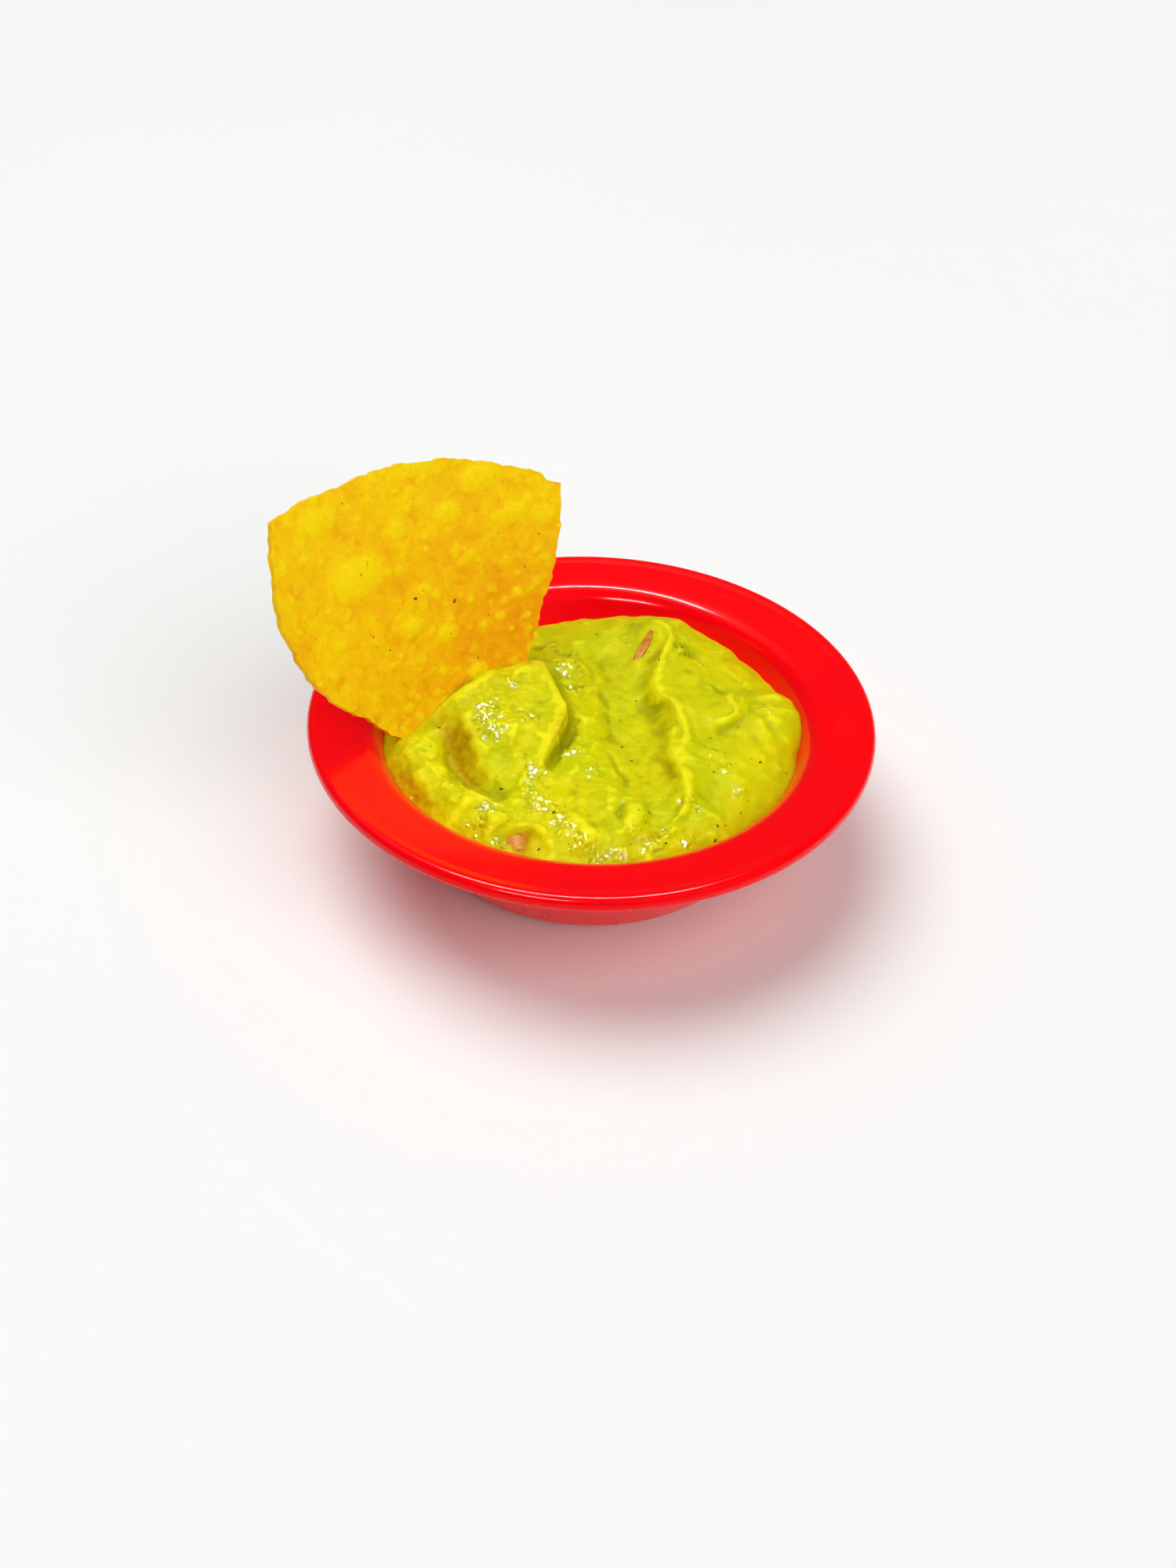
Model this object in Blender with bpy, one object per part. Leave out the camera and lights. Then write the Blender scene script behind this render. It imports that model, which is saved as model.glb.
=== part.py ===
"""Guacamole in its round rimmed dish, with one corn tortilla chip standing in it.

Three solids are made: the turned dish, the folded paste that fills it, and the
bent chip that is pushed into the paste. The origin is on the dish's axis, at the
surface it stands on. +Z is up, and the open side of the chip faces +X and -Y.
"""

import math

import bmesh
import bpy
import numpy as np

MM = 0.001

# Dish: a turned wall with a wide flange, a rounded lip and a plain flat foot.
DISH_RADIUS = 59.8 * MM
DISH_HEIGHT = 31.0 * MM
LIP_HEIGHT = 3.1 * MM
LIP_WIDTH = 2.6 * MM
LIP_TOP_ROUND = 1.9 * MM
LIP_BOTTOM_ROUND = 0.9 * MM
LIP_INNER_ROUND = 0.8 * MM
LIP_DRAFT = 0.15 * MM
FLANGE_INNER_RADIUS = 46.4 * MM
FLANGE_DROP = 2.0 * MM
FLANGE_THICKNESS = 2.5 * MM
FLANGE_EDGE_ROUND = 2.4 * MM
WALL_THICKNESS = 3.2 * MM
FLOOR_HEIGHT = 4.8 * MM
FLOOR_RADIUS = 35.5 * MM
FLOOR_ROUND = 8.0 * MM
HEEL_ROUND = 4.0 * MM
HEEL_HEIGHT = 2.0 * MM
HEEL_OVERHANG = 2.4 * MM
FOOT_RADIUS = 35.6 * MM
FOOT_HEIGHT = 1.6 * MM
DISH_SEGMENTS = 72
ROUND_STEPS = 3
MERGE_DISTANCE = 0.002 * MM

# Every level of the food is measured from this plane, a little below the crest.
RIM_PLANE = DISH_HEIGHT - 1.4 * MM

# Fit: the clearance between solids that touch.
GAP = 0.3 * MM

# Edges sharper than this stay crisp.
SHARP_ANGLE = math.radians(40.0)

# Colours as red, green and blue from 0 to 1.
DISH_RED = (0.86, 0.0, 0.012)
PASTE_GREEN = (0.62, 0.6, 0.02)
CORN_YELLOW = (0.95, 0.47, 0.01)

# Paste: where it meets the wall, how it rounds over, and how it is heaped.
EDGE_LEVEL = -7.2 * MM
SHOULDER_RISE = 2.9 * MM
SHOULDER_POWER = 9
DOME_RISE = 1.2 * MM
FOLDS_FADE_POWER = 12
PASTE_SEGMENTS = 72
PASTE_RINGS = 24
PASTE_RING_CROWDING = 1.15
PASTE_WALL_STEPS = 5
PASTE_WALL_CROWDING = 0.8

# Chip: its pivot on the paste, the way it turns and leans, its bend and thickness.
CHIP_PIVOT = (-28.63 * MM, 5.74 * MM, -0.5 * MM)
CHIP_TURN = math.radians(44.0)
CHIP_LEAN = math.radians(25.0)
CHIP_BEND_RADIUS = 156.0 * MM
CHIP_THICKNESS = 1.8 * MM
CHIP_STEPS = 15


def clear_scene():
    """Remove whatever objects are in the open file."""
    for item in list(bpy.data.objects):
        bpy.data.objects.remove(item, do_unlink=True)


def make_material(name, colour, roughness):
    """A Principled material with one colour."""
    material = bpy.data.materials.new(name)
    material.use_nodes = True
    shader = material.node_tree.nodes["Principled BSDF"]
    shader.inputs["Base Color"].default_value = (*colour, 1.0)
    shader.inputs["Roughness"].default_value = roughness
    shader.inputs["Metallic"].default_value = 0.0
    return material


def mesh_object(name, shape, material):
    """Turn a bmesh into a linked, smooth-shaded object with its material."""
    mesh = bpy.data.meshes.new(name)
    shape.to_mesh(mesh)
    shape.free()
    mesh.materials.append(material)
    mesh.shade_smooth()
    mesh.set_sharp_from_angle(angle=SHARP_ANGLE)
    made = bpy.data.objects.new(name, mesh)
    bpy.context.collection.objects.link(made)
    return made


# ---------------------------------------------------------------- outlines


def round_corner(before, corner, after, radius, steps=ROUND_STEPS):
    """Points of an arc of the given radius that rounds one corner of an outline."""
    before, corner, after = (np.array(p, float) for p in (before, corner, after))
    back = (before - corner) / np.linalg.norm(before - corner)
    ahead = (after - corner) / np.linalg.norm(after - corner)
    half = math.acos(float(np.clip(back @ ahead, -1.0, 1.0))) / 2.0
    centre = corner + (back + ahead) / np.linalg.norm(back + ahead) * radius / math.sin(half)
    start = corner + back * radius / math.tan(half) - centre
    end = corner + ahead * radius / math.tan(half) - centre
    sweep = math.pi - 2.0 * half
    points = []
    for step in range(steps + 1):
        t = step / steps
        weight_start = math.sin((1.0 - t) * sweep) / math.sin(sweep)
        weight_end = math.sin(t * sweep) / math.sin(sweep)
        points.append(centre + start * weight_start + end * weight_end)
    return points


def rounded_outline(corners):
    """An open outline through (r, z, rounding) corners, the first and last sharp."""
    points = [np.array(corners[0][:2], float)]
    for before, here, after in zip(corners, corners[1:], corners[2:]):
        if here[2] > 0.0:
            points += round_corner(before[:2], here[:2], after[:2], here[2])
        else:
            points.append(np.array(here[:2], float))
    points.append(np.array(corners[-1][:2], float))
    return points


def bezier(start, pull_start, pull_end, end, t):
    """A point of a cubic curve between two ends."""
    weights = ((1 - t) ** 3, 3 * t * (1 - t) ** 2, 3 * t * t * (1 - t), t**3)
    return sum(w * np.array(p, float) for w, p in zip(weights, (start, pull_start, pull_end, end)))


# -------------------------------------------------------------------- dish

# A rounded corner stops short of its sharp one, so the lip's corner is set higher.
LIP_CORNER_RISE = 0.4 * MM

INSIDE_CORNERS = (
    (0.0, FLOOR_HEIGHT, 0.0),
    (FLOOR_RADIUS, FLOOR_HEIGHT, FLOOR_ROUND),
    (FLANGE_INNER_RADIUS, DISH_HEIGHT - FLANGE_DROP, FLANGE_EDGE_ROUND),
    (DISH_RADIUS, DISH_HEIGHT + LIP_CORNER_RISE, LIP_TOP_ROUND),
)


def outside_corners():
    """The dish's lip, underside and foot, from the crest down to the axis."""
    lip_bottom = DISH_HEIGHT - LIP_HEIGHT
    slope = FLANGE_DROP / (DISH_RADIUS - FLANGE_INNER_RADIUS)
    under_lip = DISH_RADIUS - LIP_WIDTH
    under_inner = FLANGE_INNER_RADIUS + WALL_THICKNESS
    under_lip_z = DISH_HEIGHT - slope * LIP_WIDTH - FLANGE_THICKNESS
    under_inner_z = DISH_HEIGHT - FLANGE_DROP + slope * WALL_THICKNESS - FLANGE_THICKNESS
    heel_radius = FLOOR_RADIUS + HEEL_OVERHANG
    return (
        (DISH_RADIUS - LIP_DRAFT, lip_bottom, LIP_BOTTOM_ROUND),
        (under_lip, lip_bottom, LIP_INNER_ROUND),
        (under_lip - LIP_DRAFT, under_lip_z, 0.0),
        (under_inner, under_inner_z, LIP_TOP_ROUND),
        (heel_radius, HEEL_HEIGHT, HEEL_ROUND),
        (FOOT_RADIUS, FOOT_HEIGHT, 0.0),
        (FOOT_RADIUS - LIP_DRAFT, 0.0, 0.0),
        (0.0, 0.0, 0.0),
    )


def build_dish(material):
    """Spin the whole outline round the axis into one closed dish."""
    outline = rounded_outline(INSIDE_CORNERS + outside_corners())
    shape = bmesh.new()
    ring = [shape.verts.new((r, 0.0, z)) for r, z in outline]
    edges = [shape.edges.new(pair) for pair in zip(ring, ring[1:])]
    bmesh.ops.spin(
        shape,
        geom=ring + edges,
        cent=(0.0, 0.0, 0.0),
        axis=(0.0, 0.0, 1.0),
        angle=2.0 * math.pi,
        steps=DISH_SEGMENTS,
        use_merge=True,
    )
    bmesh.ops.remove_doubles(shape, verts=shape.verts, dist=MERGE_DISTANCE)
    bmesh.ops.recalc_face_normals(shape, faces=shape.faces)
    return mesh_object("bowl", shape, material)


def inside_outline():
    """The inner side of the dish alone, from the floor's centre to the flange."""
    points = rounded_outline(INSIDE_CORNERS)
    flange = 1 + 2 * (ROUND_STEPS + 1)
    return np.array(points[:flange])


def wall_radius(height):
    """The dish's inner radius at a height above the surface it stands on."""
    outline = inside_outline()
    wall = outline[1:]
    return np.interp(height, wall[:, 1], wall[:, 0])


def paste_reach(height):
    """How far the paste goes out at a height, clear of the wall and the floor."""
    return wall_radius(height - GAP) - GAP / 2.0


# ------------------------------------------------------------------- paste

# Each fold is a crest line on the paste, seen from above in mm: the points it
# runs through, how high it stands, and how fast it falls on its left side and on
# its right side as it is followed. A negative rise is a furrow.
FOLDS = (
    # The heap against the chip, and its crest that breaks over to the right.
    (((-13, 19), (-9, 8), (-6.5, -1), (-8, -9), (-11, -18)), 3.6, 1.6, 13.0),
    (((-24, 2), (-20, -6), (-16, -12)), 1.7, 6.0, 6.0),
    # The brown furrow, and the long lobe between it and the wall.
    (((-31, -6), (-28, -14), (-23, -21), (-15, -25)), -3.0, 3.0, 2.6),
    (((-38, -7), (-34, -18), (-26, -27), (-15, -33)), 1.9, 3.4, 4.0),
    # The swept hollow in the middle, and the crest on its right.
    (((4, 32), (5, 14), (8, 0), (9, -14), (6, -24)), -2.3, 7.0, 7.0),
    (((14, 36), (16, 26), (14, 12), (18, 2), (17, -10), (19, -22), (15, -31)), 1.7, 6.5, 1.9),
    # The curl inside the hollow's right bank, and the lump by the right wall.
    (((32, 10), (31, 2), (25, -1)), 1.1, 1.5, 5.0),
    (((39, 8), (38, -2), (35, -12)), 1.0, 4.0, 4.0),
    # Small lumps along the front.
    (((8, -26), (9, -31), (7, -36)), 1.3, 2.6, 2.6),
    (((-6, -33), (0, -36), (3, -38)), 1.0, 3.0, 3.0),
)

# Round lumps and hollows on the paste: centre in mm, rise and spread.
LUMPS = (
    ((-28, 5), 4.6, 10.5),
    ((-16, 13), 2.9, 8.0),
    ((-6, 18), 1.1, 4.5),
    ((14, 33), 1.2, 7.0),
    ((24, 12), 1.0, 7.0),
    ((26, -14), 0.9, 9.0),
    ((-13, -35), -1.4, 3.2),
    ((-17, -33), 1.0, 3.0),
    ((4, -4), -0.9, 2.6),
)

# Lobes of the paste's edge along the wall: direction, rise in mm and spread.
EDGE_LOBES = (
    (68.0, 2.9, 15.0),
    (46.0, 1.2, 10.0),
    (7.0, 3.2, 16.0),
    (-24.0, 1.0, 16.0),
    (-78.0, 0.9, 20.0),
    (192.0, 1.6, 22.0),
    (130.0, -0.8, 25.0),
)

# A fold keeps most of its height along its line, and runs out to nothing at both ends.
FOLD_TAPER_POWER = 3
FOLD_SAMPLES = 12


def smooth_line(points):
    """A Catmull-Rom curve through a few points, with its direction at each sample."""
    points = np.array(points, float)
    ends = (2 * points[0] - points[1], 2 * points[-1] - points[-2])
    padded = np.vstack([ends[0], points, ends[1]])
    samples = []
    for p0, p1, p2, p3 in zip(padded, padded[1:], padded[2:], padded[3:]):
        for t in np.linspace(0.0, 1.0, FOLD_SAMPLES, endpoint=False):
            samples.append(
                0.5
                * (
                    2 * p1
                    + (p2 - p0) * t
                    + (2 * p0 - 5 * p1 + 4 * p2 - p3) * t**2
                    + (3 * p1 - p0 - 3 * p2 + p3) * t**3
                )
            )
    samples.append(points[-1])
    return np.array(samples)


def fold_height(x, y, line, rise, left, right):
    """Height in mm that one fold adds at each place, tapering out at its ends."""
    places = np.stack([x, y], axis=-1)[:, None, :]
    away = places - line[None, :, :]
    distance = np.hypot(away[..., 0], away[..., 1])
    nearest = distance.argmin(axis=1)
    rows = np.arange(len(x))
    along = np.gradient(line, axis=0)[nearest]
    offset = away[rows, nearest]
    side = along[:, 0] * offset[:, 1] - along[:, 1] * offset[:, 0]
    spread = np.where(side > 0.0, left, right)
    progress = nearest / (len(line) - 1)
    taper = 1.0 - np.abs(2.0 * progress - 1.0) ** FOLD_TAPER_POWER
    return rise * taper * np.exp(-((distance[rows, nearest] / spread) ** 2))


def edge_wave(angle):
    """How far the paste's edge rises and falls along the wall."""
    wave = np.zeros_like(angle)
    for middle, rise, spread in EDGE_LOBES:
        turn = np.angle(np.exp(1j * (angle - math.radians(middle))))
        wave += rise * np.exp(-((turn / math.radians(spread)) ** 2))
    return wave * MM


def paste_level(x, y):
    """Height of the paste's surface at places inside the dish, all in metres."""
    wave = edge_wave(np.arctan2(y, x))
    reach = paste_reach(RIM_PLANE + EDGE_LEVEL + wave)
    share = np.clip(np.hypot(x, y) / reach, 0.0, 1.0)
    level = EDGE_LEVEL + wave * share**2
    level = level + SHOULDER_RISE * (1.0 - share**SHOULDER_POWER) + DOME_RISE * (1.0 - share**2)
    folded = np.zeros_like(x)
    for points, rise, left, right in FOLDS:
        folded += fold_height(x / MM, y / MM, smooth_line(points), rise, left, right)
    for (middle_x, middle_y), rise, spread in LUMPS:
        square = (x / MM - middle_x) ** 2 + (y / MM - middle_y) ** 2
        folded += rise * np.exp(-square / spread**2)
    return RIM_PLANE + level + folded * MM * (1.0 - share**FOLDS_FADE_POWER)


def ring_of_paste(share, angles):
    """One ring of the paste's surface, at a share of the way out to the wall."""
    reach = paste_reach(RIM_PLANE + EDGE_LEVEL + edge_wave(angles))
    x = share * reach * np.cos(angles)
    y = share * reach * np.sin(angles)
    return np.stack([x, y, paste_level(x, y)], axis=1)


def ring_under_paste(share, angles):
    """One ring on the paste's underside, a share of the way down to the floor."""
    top = RIM_PLANE + EDGE_LEVEL + edge_wave(angles)
    floor = FLOOR_HEIGHT + GAP
    height = top + (floor - top) * share**PASTE_WALL_CROWDING
    reach = paste_reach(height)
    return np.stack([reach * np.cos(angles), reach * np.sin(angles), height], axis=1)


def build_paste(material):
    """Close the folded surface against the wall and floor of the dish."""
    angles = np.arange(PASTE_SEGMENTS) * 2.0 * math.pi / PASTE_SEGMENTS
    shares = 1.0 - (1.0 - np.arange(1, PASTE_RINGS + 1) / PASTE_RINGS) ** PASTE_RING_CROWDING
    depths = np.arange(1, PASTE_WALL_STEPS + 1) / PASTE_WALL_STEPS
    rings = [ring_of_paste(share, angles) for share in shares]
    rings += [ring_under_paste(depth, angles) for depth in depths]
    shape = bmesh.new()
    rows = [[shape.verts.new(point) for point in ring] for ring in rings]
    centre_level = float(paste_level(np.array([0.0]), np.array([0.0]))[0])
    top = shape.verts.new((0.0, 0.0, centre_level))
    for index in range(PASTE_SEGMENTS):
        beside = (index + 1) % PASTE_SEGMENTS
        shape.faces.new((top, rows[0][index], rows[0][beside]))
        for inner, outer in zip(rows, rows[1:]):
            shape.faces.new((inner[index], outer[index], outer[beside], inner[beside]))
    shape.faces.new(rows[-1])
    bmesh.ops.triangulate(shape, faces=shape.faces)
    bmesh.ops.recalc_face_normals(shape, faces=shape.faces)
    return mesh_object("guacamole", shape, material)


def cut_paste(paste, cutter):
    """Leave a slot in the paste where the chip stands."""
    cut = paste.modifiers.new("slot_for_chip", "BOOLEAN")
    cut.operation = "DIFFERENCE"
    cut.solver = "EXACT"
    cut.object = cutter


# -------------------------------------------------------------------- chip

# The chip laid flat, in mm across and up from its pivot. Its sides run from the
# blunt tip in the paste to the two upper corners, and the top edge joins them.
CHIP_LEFT_LOWER = ((-3.2, -19.2), (-11.5, -10.8), (-19.8, -2.4), (-28.0, 6.0))
CHIP_LEFT_UPPER = ((-28.0, 6.0), (-37.8, 16.0), (-40.0, 28.0), (-31.2, 48.0))
CHIP_RIGHT = ((0.8, -19.2), (13.0, -5.5), (32.6, 11.0), (37.6, 33.4))
CHIP_TOP = ((-31.2, 48.0), (-18.0, 50.2), (17.0, 53.8), (37.6, 33.4))
CHIP_TIP = ((-3.2, -19.2), (-2.4, -20.6), (0.0, -20.6), (0.8, -19.2))

# Share of the way up at which the left side's two curves meet.
CHIP_LEFT_BREAK = 0.45

# The middle of the flat chip in mm, and how much more its slot grows across than through.
CHIP_MIDDLE = (0.0, 18.0)
SLOT_SPREAD = 1.3


def chip_left(t):
    """The chip's left side from the tip, t = 0, to the upper corner, t = 1."""
    if t < CHIP_LEFT_BREAK:
        return bezier(*CHIP_LEFT_LOWER, t / CHIP_LEFT_BREAK)
    return bezier(*CHIP_LEFT_UPPER, (t - CHIP_LEFT_BREAK) / (1.0 - CHIP_LEFT_BREAK))


def chip_flat_point(s, t):
    """A point of the flat chip, s across and t up, blended from its four sides."""
    left, right = chip_left(t), bezier(*CHIP_RIGHT, t)
    low, high = bezier(*CHIP_TIP, s), bezier(*CHIP_TOP, s)
    corners = (
        (1 - s) * (1 - t) * np.array(CHIP_TIP[0])
        + s * (1 - t) * np.array(CHIP_TIP[3])
        + (1 - s) * t * np.array(CHIP_TOP[0])
        + s * t * np.array(CHIP_TOP[3])
    )
    return (1 - s) * left + s * right + (1 - t) * low + t * high - corners


def chip_axes():
    """Unit directions across the chip, up it, and out of its open side."""
    across = np.array([math.cos(CHIP_TURN), math.sin(CHIP_TURN), 0.0])
    level_out = np.array([math.sin(CHIP_TURN), -math.cos(CHIP_TURN), 0.0])
    up = np.array([0.0, 0.0, 1.0])
    rising = up * math.cos(CHIP_LEAN) - level_out * math.sin(CHIP_LEAN)
    outward = level_out * math.cos(CHIP_LEAN) + up * math.sin(CHIP_LEAN)
    return across, rising, outward


def place_on_chip(flat, depth):
    """Bend a flat point, in mm, round the chip's axis and stand it in the dish."""
    across, rising, outward = chip_axes()
    u, v = flat[0] * MM, flat[1] * MM
    pivot = np.array(CHIP_PIVOT) + np.array([0.0, 0.0, RIM_PLANE])
    slope = u / CHIP_BEND_RADIUS
    normal = outward - across * slope
    normal /= np.linalg.norm(normal)
    bend = u * u / (2.0 * CHIP_BEND_RADIUS)
    return pivot + across * u + rising * v + outward * bend + normal * depth


def grow(flat, amount):
    """Move a flat point away from the chip's middle, in mm."""
    middle = np.array(CHIP_MIDDLE)
    out = np.array(flat) - middle
    return middle + out * (1.0 + amount / max(np.linalg.norm(out), 1.0))


def chip_shape(growth):
    """A closed bmesh of the chip, or of its slot when it is grown all round."""
    shape = bmesh.new()
    half = CHIP_THICKNESS / 2.0 + growth
    sides = []
    for depth in (half, -half):
        rows = []
        for j in range(CHIP_STEPS + 1):
            row = []
            for i in range(CHIP_STEPS + 1):
                flat = chip_flat_point(i / CHIP_STEPS, j / CHIP_STEPS)
                on_rim = i in (0, CHIP_STEPS) or j in (0, CHIP_STEPS)
                if on_rim and growth > 0.0:
                    flat = grow(flat, growth / MM * SLOT_SPREAD)
                row.append(shape.verts.new(place_on_chip(flat, depth)))
            rows.append(row)
        sides.append(rows)
    front, back = sides
    for j in range(CHIP_STEPS):
        for i in range(CHIP_STEPS):
            corner = (front[j][i], front[j][i + 1], front[j + 1][i + 1], front[j + 1][i])
            shape.faces.new(corner)
            corner = (back[j][i], back[j + 1][i], back[j + 1][i + 1], back[j][i + 1])
            shape.faces.new(corner)
    last = CHIP_STEPS
    rim = [(0, i) for i in range(last)] + [(j, last) for j in range(last)]
    rim += [(last, last - i) for i in range(last)] + [(last - j, 0) for j in range(last)]
    for (j, i), (next_j, next_i) in zip(rim, rim[1:] + rim[:1]):
        shape.faces.new((front[j][i], back[j][i], back[next_j][next_i], front[next_j][next_i]))
    bmesh.ops.triangulate(shape, faces=shape.faces)
    bmesh.ops.recalc_face_normals(shape, faces=shape.faces)
    return shape


def build_chip(material):
    """The chip itself."""
    return mesh_object("tortilla_chip", chip_shape(0.0), material)


def build_chip_cutter(material):
    """The chip grown by the gap, which only cuts the paste."""
    cutter = mesh_object("slot_cutter", chip_shape(GAP), material)
    cutter.hide_render = True
    cutter.display_type = "WIRE"
    return cutter


def main():
    """Build the dish, the paste and the chip."""
    clear_scene()
    red = make_material("red_dish", DISH_RED, roughness=0.2)
    green = make_material("guacamole_paste", PASTE_GREEN, roughness=0.3)
    corn = make_material("fried_corn", CORN_YELLOW, roughness=0.6)
    build_dish(red)
    paste = build_paste(green)
    build_chip(corn)
    cut_paste(paste, build_chip_cutter(corn))


main()
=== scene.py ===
# %% [markdown]
# # Guacamole in a red rimmed dish, with one corn chip
#
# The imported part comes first. It is the fixed frame that every piece below is measured from: the
# dish stands at the origin, +Z is up, and the camera looks along +Y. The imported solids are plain,
# so each one gets a finished piece that stands in its place.
#
# Lengths in this file are in metres, and MM turns millimetres into metres.

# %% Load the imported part
import math
import random

import bmesh
import bpy
import numpy as np
from mathutils import Matrix, Vector


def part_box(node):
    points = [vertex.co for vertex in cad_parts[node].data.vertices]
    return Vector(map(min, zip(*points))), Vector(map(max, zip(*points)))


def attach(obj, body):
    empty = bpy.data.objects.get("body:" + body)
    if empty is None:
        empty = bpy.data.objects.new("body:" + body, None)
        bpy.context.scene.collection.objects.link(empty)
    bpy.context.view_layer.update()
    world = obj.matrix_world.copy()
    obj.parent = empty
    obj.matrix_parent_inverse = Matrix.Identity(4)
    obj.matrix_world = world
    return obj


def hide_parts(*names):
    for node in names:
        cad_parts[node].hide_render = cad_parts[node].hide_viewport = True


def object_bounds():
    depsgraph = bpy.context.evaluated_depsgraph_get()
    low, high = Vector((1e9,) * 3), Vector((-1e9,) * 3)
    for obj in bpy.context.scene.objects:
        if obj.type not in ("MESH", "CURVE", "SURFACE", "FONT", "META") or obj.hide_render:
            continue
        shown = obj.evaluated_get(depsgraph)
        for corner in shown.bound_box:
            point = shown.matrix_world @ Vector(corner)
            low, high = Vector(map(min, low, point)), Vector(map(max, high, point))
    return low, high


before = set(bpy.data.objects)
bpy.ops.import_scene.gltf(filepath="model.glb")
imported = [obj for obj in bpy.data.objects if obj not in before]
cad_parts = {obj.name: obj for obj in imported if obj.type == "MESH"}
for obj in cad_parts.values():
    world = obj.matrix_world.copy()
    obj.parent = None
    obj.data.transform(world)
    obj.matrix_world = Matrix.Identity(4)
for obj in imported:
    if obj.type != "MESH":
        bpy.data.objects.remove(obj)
cad_low, cad_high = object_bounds()
MM = 0.001
print("packed solids:", sorted(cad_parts))
print("packed size in mm:", [round(side / MM, 1) for side in cad_high - cad_low])

# %% [markdown]
# Operators act on whatever is selected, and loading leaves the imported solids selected. So each
# piece starts from an empty selection. The other helper ends a piece: it gives it a name, a
# material, smooth shading with crisp edges, and a body to move with.

# %% Helpers for starting and finishing a piece


def start_fresh():
    """Leave edit mode and select nothing."""
    if bpy.context.object and bpy.context.object.mode == "EDIT":
        bpy.ops.object.mode_set(mode="OBJECT")
    bpy.ops.object.select_all(action="DESELECT")


def finish_piece(name, material, sharp_angle=40.0):
    """Name the active piece, shade it, and let it ride with the part."""
    piece = bpy.context.object
    piece.name = name
    piece.data.name = name
    piece.data.materials.clear()
    piece.data.materials.append(material)
    bpy.ops.object.transform_apply(location=True, rotation=True, scale=True)
    bpy.ops.object.shade_smooth_by_angle(angle=math.radians(sharp_angle))
    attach(piece, "root")
    print(name, "has", sum(len(face.vertices) - 2 for face in piece.data.polygons), "triangles")
    return piece


def coordinates(piece):
    """The piece's vertices as an array with one row each."""
    places = np.empty(len(piece.data.vertices) * 3)
    piece.data.vertices.foreach_get("co", places)
    return places.reshape(-1, 3)


def place_vertices(piece, places):
    """Move the piece's vertices to the rows of an array."""
    piece.data.vertices.foreach_set("co", np.ascontiguousarray(places, dtype=np.float32).ravel())
    piece.data.update()


def add_attribute(piece, name, values):
    """Store one number for each vertex, for the material to read."""
    attribute = piece.data.attributes.new(name, "FLOAT", "POINT")
    attribute.data.foreach_set("value", np.asarray(values, dtype=np.float32))


# %% [markdown]
# A material is a tree of nodes. Writing each node and link out takes many lines, so these helpers
# add one node with its settings, and read a colour the way a paint chart gives it, from 0 to 255.
# Patterns use Object coordinates, which stay with the piece whatever the camera does.

# %% Helpers for materials


def paint(red, green, blue):
    """A colour from 0 to 255 a channel as the linear values that Blender uses."""
    channels = []
    for channel in (red, green, blue):
        share = channel / 255.0
        channels.append(share / 12.92 if share <= 0.04045 else ((share + 0.055) / 1.055) ** 2.4)
    return (*channels, 1.0)


class Finish:
    """A material under construction."""

    def __init__(self, name):
        self.material = bpy.data.materials.new(name)
        self.material.use_nodes = True
        self.tree = self.material.node_tree
        self.shader = self.tree.nodes["Principled BSDF"]
        self.place = self.tree.nodes.new("ShaderNodeTexCoord").outputs["Object"]

    def set(self, **values):
        """Set sockets of the shader, with _ for a space in the socket's name."""
        for socket, value in values.items():
            self.shader.inputs[socket.replace("_", " ")].default_value = value

    def link(self, source, socket):
        """Let a node drive one socket of the shader."""
        self.tree.links.new(source, self.shader.inputs[socket])

    def add(self, kind, inputs=None, **settings):
        """Add a node, with its settings and with numbers or links for its inputs."""
        node = self.tree.nodes.new(kind)
        for name, value in settings.items():
            setattr(node, name, value)
        for socket, value in (inputs or {}).items():
            if isinstance(value, bpy.types.NodeSocket):
                self.tree.links.new(value, node.inputs[socket])
            else:
                node.inputs[socket].default_value = value
        return node

    def stretched(self, scale, turn=(0.0, 0.0, 0.0)):
        """Object coordinates turned and squeezed, so that a pattern runs one way."""
        return self.add(
            "ShaderNodeMapping", {"Vector": self.place, "Scale": scale, "Rotation": turn}
        ).outputs["Vector"]

    def noise(self, size, detail=3.0, rough=0.5, warp=0.0):
        """Cloudy noise whose spots are about this size in metres."""
        return self.add(
            "ShaderNodeTexNoise",
            {
                "Vector": self.place,
                "Scale": 1.0 / size,
                "Detail": detail,
                "Roughness": rough,
                "Distortion": warp,
            },
        ).outputs["Fac"]

    def span(self, value, low, high, to_low=0.0, to_high=1.0):
        """Stretch the part of a value between low and high to a new range."""
        return self.add(
            "ShaderNodeMapRange",
            {"Value": value, "From Min": low, "From Max": high, "To Min": to_low, "To Max": to_high},
            interpolation_type="SMOOTHSTEP",
        ).outputs["Result"]

    def sum(self, first, second, operation="ADD"):
        """Combine two values by an arithmetic operation."""
        return self.add("ShaderNodeMath", {0: first, 1: second}, operation=operation).outputs[0]

    def mix(self, share, first, second, blend="MIX"):
        """Mix two colours by a share from 0 to 1."""
        node = self.add("ShaderNodeMix", data_type="RGBA", blend_type=blend)
        for socket, value in ((0, share), (6, first), (7, second)):
            if isinstance(value, bpy.types.NodeSocket):
                self.tree.links.new(value, node.inputs[socket])
            else:
                node.inputs[socket].default_value = value
        return node.outputs[2]

    def vertex_value(self, name):
        """A number stored on the piece's vertices."""
        return self.add("ShaderNodeAttribute", attribute_name=name).outputs["Fac"]

    def bump(self, height, depth, strength=1.0):
        """Fine relief that is this deep in metres where height goes from 0 to 1."""
        relief = self.add(
            "ShaderNodeBump", {"Height": height, "Distance": depth, "Strength": strength}
        )
        self.link(relief.outputs["Normal"], "Normal")


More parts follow.
